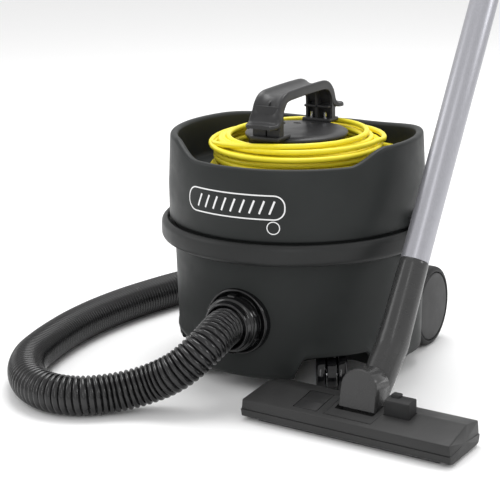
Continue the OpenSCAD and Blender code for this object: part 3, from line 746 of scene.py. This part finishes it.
INLET = TUB @ Matrix.Translation((0, 0, JOINTS["connector_twist"]["pos_m"][2] / MM)) \
    @ QUARTER_X


def make_inlet():
    """The moulded ring in the drum's front, and the hose's bayonet connector in it."""
    ring = rounded([(26.2, 121, 0.5), (30, 121, 0.5), (30, 137, 0), (39.2, 137, 0),
        (39.2, 143.5, 1.5), (38.4, 149.6, 2.2), (35.6, 150, 1.4), (34.6, 147.2, 1), (30, 146.4, 1),
        (29.0, 149.4, 0.8), (26.2, 149.4, 0.5)])
    piece("inlet_ring_skin", lathe(ring, 128), "gloss_black", ["inlet_flange"], INLET)
    body = rounded([(23.6, 123, 0.5), (25.9, 123, 0.5), (25.9, 150.6, 0), (31.6, 150.6, 0.8),
        (32.8, 152.2, 1), (32.8, 160.4, 1.6), (31.4, 164.8, 2.2), (29.2, 166, 1.4),
        (28.2, 173, 1.6), (26.6, 174.2, 1), (24.6, 173.4, 0.6), (24.2, 169, 0.5), (23.6, 168, 0.5)])
    forms = [lathe(body, 128)]
    for k in range(6):
        lug = shifted(box((30.5, -4.2, 151), (34.6, 4.2, 161.5), 1.4))
        forms.append(moved(lug, Matrix.Rotation(radians(30 + 60 * k), 4, "Z")))
    piece("connector_skin", join(*forms), "gloss_black", ["inlet_connector"], INLET, "connector")


def make_rear_wheel(side):
    place = wheel_frame(side)
    low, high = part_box(f"tyre_{side}")
    radius = (high.z - low.z) / 2 / MM
    offsets = sorted(abs(x - tub_centre.x) / MM for x in (low.x, high.x))
    inner, outer = offsets[0], offsets[1] + 1
    tyre = rounded([(42.6, inner + 1, 1), (radius - 5, inner, 2), (radius - 1, inner + 2, 3),
        (radius, inner + 8, 4), (radius, outer - 9, 4), (radius - 0.8, outer - 2.6, 3.5),
        (radius - 4.4, outer - 0.6, 2.5), (43.6, outer - 0.7, 0.8), (42.9, outer - 2.4, 0.6),
        (42.6, outer - 6, 0)], steps=5)
    skin_of(f"tyre_{side}", lathe(tyre, 128), "tyre_rubber", place, f"wheel_{side}", sharp=50)
    disc = rounded([(4.1, inner + 3, 0.5), (12, inner + 3, 1), (14, inner + 7, 2),
        (36, inner + 7, 2), (39, inner + 3, 1), (42.6, inner + 3, 0), (42.6, outer - 6, 0),
        (4.1, outer - 6, 0)], steps=3)
    skin_of(f"wheel_disc_{side}", lathe(disc), "wheel_core", place, f"wheel_{side}")
    cap = rounded([(0.2, outer - 6, 0), (42.3, outer - 6, 0.5), (42.4, outer - 1.9, 1.2),
        (41.0, outer - 0.9, 1.2), (30, outer - 0.5, 4), (12, outer - 0.1, 4), (0.2, outer, 0)],
        False)
    skin_of(f"hubcap_{side}", lathe(cap, 128, False), "hubcap_grey", place, f"wheel_{side}")


def make_caster(side):
    place = caster_frame(side)
    body = f"caster_{side}"
    axle_z, trail = 21, 14
    rolled = place @ Matrix.Translation((0, -trail, axle_z)) @ QUARTER_Y
    forms = []
    for end in (-1, 1):
        wheel = rounded([(2.6, 6.3, 0.3), (17.2, 6.3, 1.5), (20.4, 7.4, 1.5), (21, 9.5, 1.5),
            (21, 15, 2), (19.6, 17.4, 2), (15.5, 17.9, 1), (14.8, 16.8, 0.6), (6.5, 17.6, 1.5),
            (2.6, 17.8, 0.5)], steps=3)
        wheel = lathe(wheel, 72)
        forms.append(moved(wheel, Matrix.Scale(end, 4, Z)))
    skin_of(f"caster_wheels_{side}", join(*forms), "caster_black", rolled, f"caster_{side}_wheels")
    rim = []
    for k in range(33):
        a = radians(-25 + 230 * k / 32)
        rim.append((-trail + 23.4 * cos(a), axle_z + 20.5 * sin(a)))
    low = [(-trail - 14, 16), (-trail - 8, 12.5), (-trail + 10, 12.5)]
    hood = prism(rim + low, -5.4, 5.4, 0.8)
    neck = lathe(rounded([(3.6, 26, 0), (8.6, 26, 0), (8.6, 40.4, 1.2), (6.4, 41.6, 0.8),
        (3.6, 41.8, 0)], steps=3), 48)
    piece(f"caster_body_{side}_skin", join(moved(hood, ALONG_X), neck), "caster_black",
        [f"caster_fork_{side}"], place, body)
    collar = rounded([(0.2, 41.5, 0), (6.6, 41.5, 0.6), (7.2, 43, 0.8), (7.2, 45, 1),
        (5.4, 46.2, 0.8), (3.5, 46.4, 0.4), (3.5, 60, 0.6), (0.2, 60, 0)], False, steps=3)
    skin_of(f"caster_pin_{side}", lathe(collar, 48, False), "bare_steel", place, body)


# ---- head ----

def rim_height(angle):
    """Height of the hood's rim at an angle: it dips in front, and a little less at the back."""
    front = FRONT_DIP * smooth_step((angle + 45) / 22) * smooth_step((71 - angle) / 20)
    back = BACK_DIP * smooth_step((abs(angle) - 112) / 60)
    return RIM_Z - front - back


def hood_wall(z):
    """Radius of the hood's wall, which flares a little towards its lower edge."""
    return HOOD_R + HOOD_FLARE * min(1, (FLARE_HIGH - z) / (FLARE_HIGH - FLARE_LOW))


def make_hood():
    """The hood: a tall wall with a thick rounded lip, and the bowl that holds the cord."""
    rings = []
    count = 480
    for k in range(count):
        angle = 360 * k / count - 180
        top = rim_height(angle)
        low = BAND_TOP + 1.2
        lip = [(HOOD_R - 4 + 4 * cos(radians(t)), top - 4 + 4 * sin(radians(t)))
               for t in range(0, 91, 15)]
        lip += [(HOOD_R - 5 - 4.4 * sin(radians(t)), top - 4.4 + 4.4 * cos(radians(t)))
            for t in range(0, 91, 15)]
        foot = hood_wall(low)
        outline = [(147.6, low - 6), (147.6, low), (foot - 1.6, low), (foot - 0.4, low + 0.7),
            (foot, low + 2), (foot, FLARE_LOW), (hood_wall(240), 240),
            (hood_wall(top - 12), top - 12), *lip, (HOOD_R - 8.6, top - 12), (HOOD_R - 7.2, 240),
            (HOOD_R - 8.0, 234.5), (HOOD_R - 11.5, BOWL_Z), (110, BOWL_Z), (56, BOWL_Z), (56, 229),
            (142.5, 229), (142.5, low - 6)]
        rings.append(stood_up(outline, radians(angle)))
    piece("hood_skin", loft(rings, closed_path=True), "hood_plastic", ["head_shell"], sharp=60)


def make_console():
    """The switch console at the back of the bowl, and the grille in the hood's back."""
    console = prism(rounded([(-32, 110, 5), (32, 110, 5), (32, 143, 2), (-32, 143, 2)]), 231, 262,
        1.5)
    piece("console_skin", console, "hood_plastic")
    bezel = join(*(box(low, high, 0.6) for low, high in (
        ((-16, 117.5, 261.6), (16, 120.4, 264)), ((-16, 133.6, 261.6), (16, 136.5, 264)),
        ((-16, 118, 261.6), (-12.6, 136, 264)), ((12.6, 118, 261.6), (16, 136, 264)))))
    piece("bezel_skin", bezel, "gloss_black", ["switch_bezel"])
    rocker = prism(rounded([(-11.4, -1, 0), (-11.4, 5, 1.2), (-4, 2.2, 5), (4, 1.7, 4),
        (11.4, 2.6, 0.8), (11.4, -1, 0), (6, -6, 1), (-6, -6, 1)], steps=3), -133, -121.2, 0.5)
    place = TUB @ Matrix.Translation((0, 0, 262)) @ QUARTER_X
    piece("rocker_skin", rocker, "switch_red", ["rocker_switch"], place, "rocker")
    slats = []
    for k in range(15):
        angle = radians(180 + 3.3 * (k - 7))
        slat = box((-2.0, -153.8, 191), (2.0, -148, 224), 0.9)
        slats.append(moved(slat, Matrix.Rotation(angle, 4, "Z")))
    frame_rings = []
    for k in range(41):
        angle = radians(180 - 27.5 + 55 * k / 40)
        section = rounded([(148, 187, 0.5), (154, 187, 0.8), (154, 190.4, 0.8), (148, 190.4, 0.5)],
            steps=2)
        frame_rings.append(stood_up(section, angle))
    low_rail = loft(frame_rings)
    slats += [low_rail, shifted(low_rail, z=36)]
    piece("grille_skin", join(*slats), "inner_plastic", ["exhaust_grille"])


def make_hub():
    top = top_of("hub_disc")
    disc = skin_of("hub_disc", lathe(rounded([(0.2, top - 8, 0), (60.2, top - 8, 1),
        (61.3, top - 6, 1.5), (61.0, top - 3.2, 2.5), (55, top - 0.7, 6), (30, top + 0.2, 6),
        (0.2, top + 0.3, 0)], False, steps=5), 160, False), "handle_plastic", sharp=60)
    oval = prism(superellipse(5.5, 3.2, 1, 32), top - 3.5, top + 5)
    cut(disc, TUB, shifted(oval, -14, 28))
    hub = lathe(rounded([(54.2, 232, 0), (57, 232, 0), (57, top - 8, 0), (54.2, top - 8, 0)]), 128)
    skin_of("winding_hub", hub, "inner_plastic")


def handle_outline():
    """The strap's outer line from the front ear's tip to the back ear's tip, as (y, z)."""
    return rounded([
        (-93, 303.0, 0), (-78.5, 303.8, 5), (-75, 322, 9), (-60, 336.4, 15), (0, 337.4, 60),
        (50, 336.4, 16), (66, 322, 10), (71, 304.0, 6), (92, 303.0, 0)], False, steps=8)


def resampled(line, count):
    """Points at even distances along a flat line."""
    xy = np.array(line)
    along = np.concatenate([[0], np.cumsum(np.hypot(*np.diff(xy, axis=0).T))])
    even = np.linspace(0, along[-1], count)
    return [Vector((float(np.interp(s, along, xy[:, 0])), float(np.interp(s, along, xy[:, 1]))))
        for s in even]


def make_handle():
    """The carry handle: a dished strap with side flanges, two ribbed legs and two flared ears."""
    line = resampled(handle_outline(), 72)
    rings = []
    for i, here in enumerate(line):
        ahead = (line[min(i + 1, 71)] - line[max(i - 1, 0)]).normalized()
        out = Vector((-ahead.y, ahead.x))
        reach = min(i, 71 - i) / 71
        ear = 1 - smooth_step((reach - 0.075) / 0.05)
        tip = 1 - smooth_step(reach / 0.05)
        half = 18.2 + 2.6 * ear - 5.5 * tip ** 2
        dish = 5.0 * (1 - ear)
        flange = 11.0 - 6.0 * ear
        web = 4.2 + dish
        section = rounded([
            (-half, -flange, 1), (-half, -1.5, 1.5), (-half + 1.6, 0, 1.2), (-half + 4.4, -0.6, 2),
            (-half * 0.45, -dish * 0.86, 5), (0, -dish, 6), (half * 0.45, -dish * 0.86, 5),
            (half - 4.4, -0.6, 2), (half - 1.6, 0, 1.2), (half, -1.5, 1.5), (half, -flange, 1),
            (half - 3.6, -flange, 0.8), (half - 3.8, -max(web, flange * 0.55), 1.5),
            (-half + 3.8, -max(web, flange * 0.55), 1.5), (-half + 3.6, -flange, 0.8)], steps=3)
        rings.append([(x, here.x + n * out.x, here.y + n * out.y) for x, n in section])
    handle = piece("handle_skin", loft(rings), "handle_plastic", ["carry_handle"], sharp=45)
    forms = []
    top = top_of("hub_disc")
    for side, out in ((-1, 74), (1, 67)):
        for x, wide, depth in ((-17.9, 2.8, 9), (-1.4, 2.8, 16), (15.1, 2.8, 9)):
            low_in = out - depth
            outline = rounded([(side * low_in, top - 1, 0), (side * out, top - 1, 0),
                (side * out, 312, 3), (side * (out - 6), 326, 4), (side * (out - 22), 329, 3),
                (side * low_in, 314, 7)])
            forms.append(moved(prism(outline, x, x + wide, 0.5), ALONG_X))
        gusset = rounded([(side * (out - 2), 294, 1), (side * (out + 8), 299, 6),
            (side * 89, 300.5, 1), (side * (out - 2), 303, 1)])
        forms.append(moved(prism(gusset, -15, 15, 0.6), ALONG_X))
        forms += [box((-16.5, side * (out - 3.4), top - 1), (16.5, side * out, 322), 0.8),
            box((-16.5, side * (out - 16), 300.6), (16.5, side * (out - 2), 303), 0.5),
            box((-19, side * 50, top - 1.2), (19, side * (out + 6), top + 3.2), 1.2)]
    piece("handle_legs", join(*forms), "handle_plastic", sharp=45)
    hole = [(6 + x, 316 + z) for x, z in superellipse(4.4, 2.6, 1, 32)]
    cut(handle, TUB, moved(prism(hole, 60, 88), QUARTER_X))


def make_clip(side):
    """An over-centre clip with a curled thumb lip."""
    sign = 1 if side == "right" else -1
    z0 = JOINTS[f"clip_{side}_open"]["pos_m"][2] / MM
    turn = Matrix(((sign, 0, 0, 0), (0, 0, sign, 0), (0, 1, 0, 0), (0, 0, 0, 1)))
    outline = rounded([(-4.6, -3, 2), (0, -5, 3), (4.6, -2, 2), (3, 6, 3), (3, 32, 3), (4.8, 37, 2),
        (5, 43, 2), (3.4, 44.6, 2), (-9.6, 44.6, 1), (-10.8, 43.2, 0.6), (-10.4, 39.7, 0.6),
        (-3, 39.7, 1), (-2.2, 34, 2), (-2.2, 6, 2)])
    plate = prism(outline, -13.8, 13.8, 1.0)
    place = TUB @ Matrix.Translation((sign * CLIP_X, 0, z0)) @ turn
    skin_of(f"clip_{side}", plate, "handle_plastic", place, f"{side}_clip")


def make_mark():
    """A plain mark on the hood's front: an outlined lozenge with strokes, and a small ring."""
    def strip(path, wide, closed=True):
        rings = []
        count = len(path)
        for i, (u, v) in enumerate(path):
            before = Vector(path[i - 1] if closed or i else path[i])
            after = Vector(path[(i + 1) % count] if closed or i < count - 1 else path[i])
            ahead = (after - before).normalized()
            side = Vector((-ahead.y, ahead.x)) * wide / 2
            ring = []
            for offset, lift in ((1, 0.02), (1, 0.16), (-1, 0.16), (-1, 0.02)):
                p = Vector((u, v)) + offset * side
                ring += stood_up([(hood_wall(p.y) + lift, p.y)], p.x / HOOD_R)
            rings.append(ring)
        return loft(rings, closed_path=closed)

    def lozenge(u0, u1, v0, v1, radius):
        line = []
        for (u, v), start in (((u1 - radius, v1 - radius), 0), ((u0 + radius, v1 - radius), 90),
                              ((u0 + radius, v0 + radius), 180), ((u1 - radius, v0 + radius), 270)):
            for k in range(9):
                a = radians(start + 11.25 * k)
                line.append((u + radius * cos(a), v + radius * sin(a)))
        return resampled_loop(line, 120)

    forms = [strip(lozenge(-66, 60, 210, 237, 12), 1.5)]
    for i in range(9):
        u = -50 + 11.6 * i
        forms.append(strip([(u + 6 * k / 8, 216 + 15 * k / 8) for k in range(9)], 2.2, False))
    forms.append(strip(lozenge(40, 54, 193.5, 207.5, 6.9), 1.1))
    piece("front_mark", join(*forms), "mark_white", slot=None, sharp=30)


def resampled_loop(line, count):
    closed = line + [line[0]]
    return [tuple(p) for p in resampled(closed, count + 1)[:-1]]


# ---- floor tool, neck and wand ----

TOOL_FRONT, TOOL_BACK, RIDGE_Y, RIDGE_Z = -39, 35, 6, 33
FRONT_Z, BACK_Z = 24.6, 28
TOOL_HALF = 129.0
PARTING_Z = 13.0
BELLY_Z = 17
STRIPS_Y = (-29, 25)
PEDALS = {"left": ((-66, -30), (-37, 7)), "right": ((34, -9), (64.5, 8))}


def tool_top(y):
    """Height of the tool's top, which rises to a ridge and falls behind it."""
    if y < RIDGE_Y:
        return FRONT_Z + (RIDGE_Z - FRONT_Z) * (y - TOOL_FRONT) / (RIDGE_Y - TOOL_FRONT)
    return RIDGE_Z + (BACK_Z - RIDGE_Z) * (y - RIDGE_Y) / (TOOL_BACK - RIDGE_Y)


def tool_half(y, z, side=1):
    """Half the tool's width: it narrows to the back and upwards, and one back corner is cut."""
    corner = 14 * max(0, y - 24) / (TOOL_BACK - 24) if side < 0 else 0
    lip = 0.8 if abs(z - PARTING_Z) < 0.3 else 0
    return TOOL_HALF - 0.06 * (y - TOOL_FRONT) - 0.09 * (z - 10) - corner + lip


def make_tool():
    """The floor tool's housing: two flat slopes to a ridge, a parting line, crisp leaning ends."""
    front, back = TOOL_FRONT, TOOL_BACK
    section = rounded([(front + 6, 3.2, 1), (front + 0.4, 5, 2), (front - 0.9, PARTING_Z, 0.2),
        (front + 0.7, 13.6, 0.3), (front - 0.1, 14.2, 0.3), (front, FRONT_Z, 1.6),
        (-17, tool_top(-17), 0), (RIDGE_Y, RIDGE_Z, 3), (24, tool_top(24), 0), (back, BACK_Z, 1.6),
        (back, 14.2, 0.3), (back - 0.7, 13.6, 0.3), (back + 0.8, PARTING_Z, 0.2),
        (back - 0.4, 5, 2), (back - 6, 3.2, 1), (24, 3.2, 0)])
    middle = Vector(((front + back) / 2, 16))
    rings = []
    stations = [(-1, 0, 60), (-1, 0, 1.4), (-1, 0.5, 0.4), (-1, 1.5, 0),
        *((k / 6, 0, 0) for k in range(-5, 6)), (1, 1.5, 0), (1, 0.5, 0.4), (1, 0, 1.4), (1, 0, 60)]
    for part, inset, shrink in stations:
        ring = []
        for y, z in section:
            inward = middle - Vector((y, z))
            inward *= min(0.98, shrink / inward.length)
            half = tool_half(y + inward.x, z + inward.y, part)
            ring.append((part * (half - inset), y + inward.x, z + inward.y))
        rings.append(ring)
    housing = skin_of("tool_housing", loft(rings), "tool_plastic", TOOL, "floor_tool", sharp=28)
    well = box((NECK_X - 24, -17, -5), (NECK_X + 24, 60, 60), 2)
    slots = [box((x0 - 0.7, y0 - 0.7, 9), (x1 + 0.7, y1 + 0.7, 60), 0.8) for (x0, y0),
        (x1, y1) in PEDALS.values()]
    belly = box((-119, front + 4, -5), (119, back - 4, BELLY_Z), 1)
    cut(housing, TOOL, well, *slots, belly)
    trim = []
    for x in (-29.3 + NECK_X, 29.3 + NECK_X):
        rail = [(-31, tool_top(-31) - 1), (-31, tool_top(-31) + 0.5), (RIDGE_Y, RIDGE_Z + 0.6),
            (32, tool_top(32) + 0.5), (32, tool_top(32) - 1)]
        trim.append(moved(prism(rail, x - 0.7, x + 0.7, 0.2), ALONG_X))
    low = tool_top(-31)
    trim.append(box((NECK_X - 29.3, -31.7, low - 1), (NECK_X + 29.3, -30.3, low + 0.6), 0.3))
    piece("tool_trim", join(*trim), "tool_plastic", (), TOOL, "floor_tool")
    # The pedal slots' floors are the tool's own plastic, coloured with the darker inner plastic as painted shade
    # in the recesses.
    shaded_slot_floors = [box((x0 - 0.6, max(y0 - 0.6, -26), 10.2), (x1 + 0.6, y1 + 0.6, 11.4), 0.3)
        for (x0, y0), (x1, y1) in PEDALS.values()]
    piece("pedal_wells_painted_shade", join(*shaded_slot_floors), "inner_plastic", (), TOOL, "floor_tool",
        slot="tool_plastic")


def make_pedal(side):
    """A rocker pedal that follows the tool's top, with a soft fold and eased edges."""
    rise = top_of(f"pedal_{side}") - RIDGE_Z
    (x0, y0), (x1, y1) = PEDALS[side]
    fold = y0 + 0.45 * (y1 - y0)
    outline = rounded([(y0, 12, 0.6), (y0, tool_top(y0) + 0.2, 1.4),
        (fold, tool_top(fold) + 0.9, 2), (y1, tool_top(y1) + 0.1, 1.2), (y1, 12, 0.6)])
    plate = prism([(y, z + rise) for y, z in outline], x0 + 0.2, x1 - 0.2, 0.9)
    forms = [moved(plate, ALONG_X)]
    if side == "right":
        top = RIDGE_Z + rise
        forms.append(box((x0 + 4, -1, top - 5), (x0 + 14, y1 - 0.5, top + 2.6), 1.2))
    skin_of(f"pedal_{side}", join(*forms), "pedal_plastic", TOOL, f"{side}_pedal")


def make_underside():
    """The two bristle strips, the rear one split round the neck, and the bars between them."""
    tufts = []
    for y in STRIPS_Y:
        for k in range(75):
            x = -111 + 3 * k
            if y > 0 and abs(x) < 29:
                continue
            tuft = lathe([(1.1, 7), (1.3, 3.5), (1.5, 0.05), (0.1, 0.05), (0.1, 7)], 8)
            tufts.append(shifted(tuft, x, y))
    tufts.append(box((-112, -31, 6.4), (112, -27, 10), 0.5))
    for side in (-1, 1):
        tufts.append(box((side * 74 - 3, -29, 7), (side * 74 + 3, 25, 10), 0.5))
        tufts.append(box((side * 28, 23, 6.4), (side * 112, 27, 10), 0.5))
    piece("bristle_rows", join(*tufts), "bristle", ["brush_strips"], TOOL, "brush")


NECK_LEAN, WAND_LEAN = 43.4, 30
BEND_Z, SHOULDER = 84, 92.7
WAND_LOW, LOWER_LENGTH, UPPER_LENGTH = 93.1, 470, 430


def make_neck():
    """The neck: a foot with an arched tongue, a bent tube and the shoulder below the wand."""
    lower, upper = radians(NECK_LEAN), radians(WAND_LEAN)
    start = Vector((NECK_X, PIVOT_Y, PIVOT_Z))
    bend = Vector((NECK_X, PIVOT_Y + 60 * tan(lower), BEND_Z))
    line = []
    for s in (22, 34, 46, 58, 68):
        line.append((start + s * Vector((0, sin(lower), cos(lower))), lower, 17.6, 17.6, 0.92))
    line.append((bend + Vector((0, -3.4, -5.2)), radians(40), 17.8, 18.6, 0.94))
    line.append((bend + Vector((0, 0.7, 1.0)), radians(36.5), 17.8, 18.9, 0.95))
    for s, radius in ((9, 17.8), (20, 17.6), (36, 17.3), (52, 17.0), (70, 16.7), (88, 16.4),
            (91.8, 16.3), (SHOULDER, 15.8)):
        place = bend + s * Vector((0, sin(upper), cos(upper)))
        line.append((place, upper, radius, radius + 0.3, 1.0))
    rings = []
    for place, lean, rx, ry, power in line:
        ring = []
        for x, y in superellipse(rx, ry, power, 64):
            ring.append(place + Vector((x, y * cos(lean), -y * sin(lean))))
        rings.append(ring)
    forms = [loft(rings)]
    barrel = lathe(rounded([(3.1, -21, 0.5), (15.2, -21, 1), (16.4, -20, 1), (16.4, 20, 1),
        (15.2, 21, 1), (3.1, 21, 0.5)], steps=3), 64)
    barrel = moved(barrel, QUARTER_Y)
    forms.append(shifted(barrel, NECK_X, PIVOT_Y, PIVOT_Z))
    arch = [(-22.4, 0), (-22.4, 18)]
    for k in range(25):
        a = pi - pi * k / 24
        arch.append((22.4 * cos(a) * (0.96 + 0.04 * abs(cos(a))), 20 + 24.6 * sin(a) ** 0.8))
    arch += [(22.4, 18), (22.4, 0)]
    slope = Matrix.Translation((NECK_X, -11, 29)) @ Matrix.Rotation(radians(80), 4, "X")
    forms.append(moved(prism(arch, -30, 0, 1.4), slope))
    skin_of("neck", join(*forms), "neck_plastic", TOOL, "neck_body", slot="tool_plastic", sharp=42)


def make_wand():
    low, high = WAND_LOW, WAND_LOW + LOWER_LENGTH
    top = high + UPPER_LENGTH
    tube = rounded([(14.8, low, 0.5), (16.0, low, 0.5), (16.0, high, 0.5), (14.8, high, 0.5)],
        steps=2)
    skin_of("wand_lower", lathe(tube), "wand_metal", WAND, "wand")
    outline = rounded([(16.05, high - 40, 0.4), (17.4, high - 40, 0.5), (17.4, high + 1, 2.5),
        (16.0, high + 6, 2.5), (16.0, top - 1, 0.5), (14.8, top, 0.5), (14.8, high + 6, 2),
        (16.05, high + 1, 1)], steps=3)
    skin_of("wand_upper", lathe(outline), "wand_metal", WAND, "wand_end")


# ---- studio ----

def make_studio():
    mesh = bpy.data.meshes.new("floor")
    size = 14
    mesh.from_pydata([(-size, -size, 0), (size, -size, 0), (size, size, 0), (-size, size, 0)], [],
        [(0, 1, 2, 3)])
    mesh.materials.append(new_material("floor_white", (0.96, 0.96, 0.96), 0.75, specular=0.1)[0])
    floor = add_object("floor", mesh)
    world = bpy.data.worlds.new("studio")
    world.use_nodes = True
    sky = world.node_tree.nodes["Background"]
    sky.inputs["Color"].default_value = (1, 1, 1, 1)
    sky.inputs["Strength"].default_value = 0.85
    bpy.context.scene.world = world
    light("overhead", (-0.3, 0.6, 2.2), (0, 0, 0.1), 1.6, 34)
    light("strip", (0.75, -2.05, 1.15), (0.1, -0.1, 0.25), 0.12, 6, 1.7)
    light("from_left", (-2.0, -0.9, 1.3), (0, 0, 0.15), 1.0, 7)
    light("from_right", (2.0, 0.5, 1.2), (0, 0, 0.15), 0.6, 7)
    view = bpy.context.scene.view_settings
    view.view_transform = "Standard"
    view.look = "None"


def light(name, place, target, size, power, height=None):
    """A round area light, or a tall narrow one where a height is given."""
    data = bpy.data.lights.new(name, "AREA")
    data.shape = "RECTANGLE" if height else "DISK"
    data.size = size
    if height:
        data.size_y = height
    data.energy = power
    lamp = add_object(name, data)
    lamp.location = place
    lamp.rotation_mode = "QUATERNION"
    lamp.rotation_quaternion = (Vector(target) - Vector(place)).to_track_quat("-Z", "Y")


make_camera()
dress_cad_nodes()
make_hose()
make_cord()
make_drum_skin()
make_rim_band()
make_inlet()
for wheel_side in ("left", "right"):
    make_rear_wheel(wheel_side)
    make_caster(wheel_side)
    make_clip(wheel_side)
    make_pedal(wheel_side)
make_hood()
make_console()
make_hub()
make_handle()
make_mark()
make_tool()
make_underside()
make_neck()
make_wand()
make_studio()
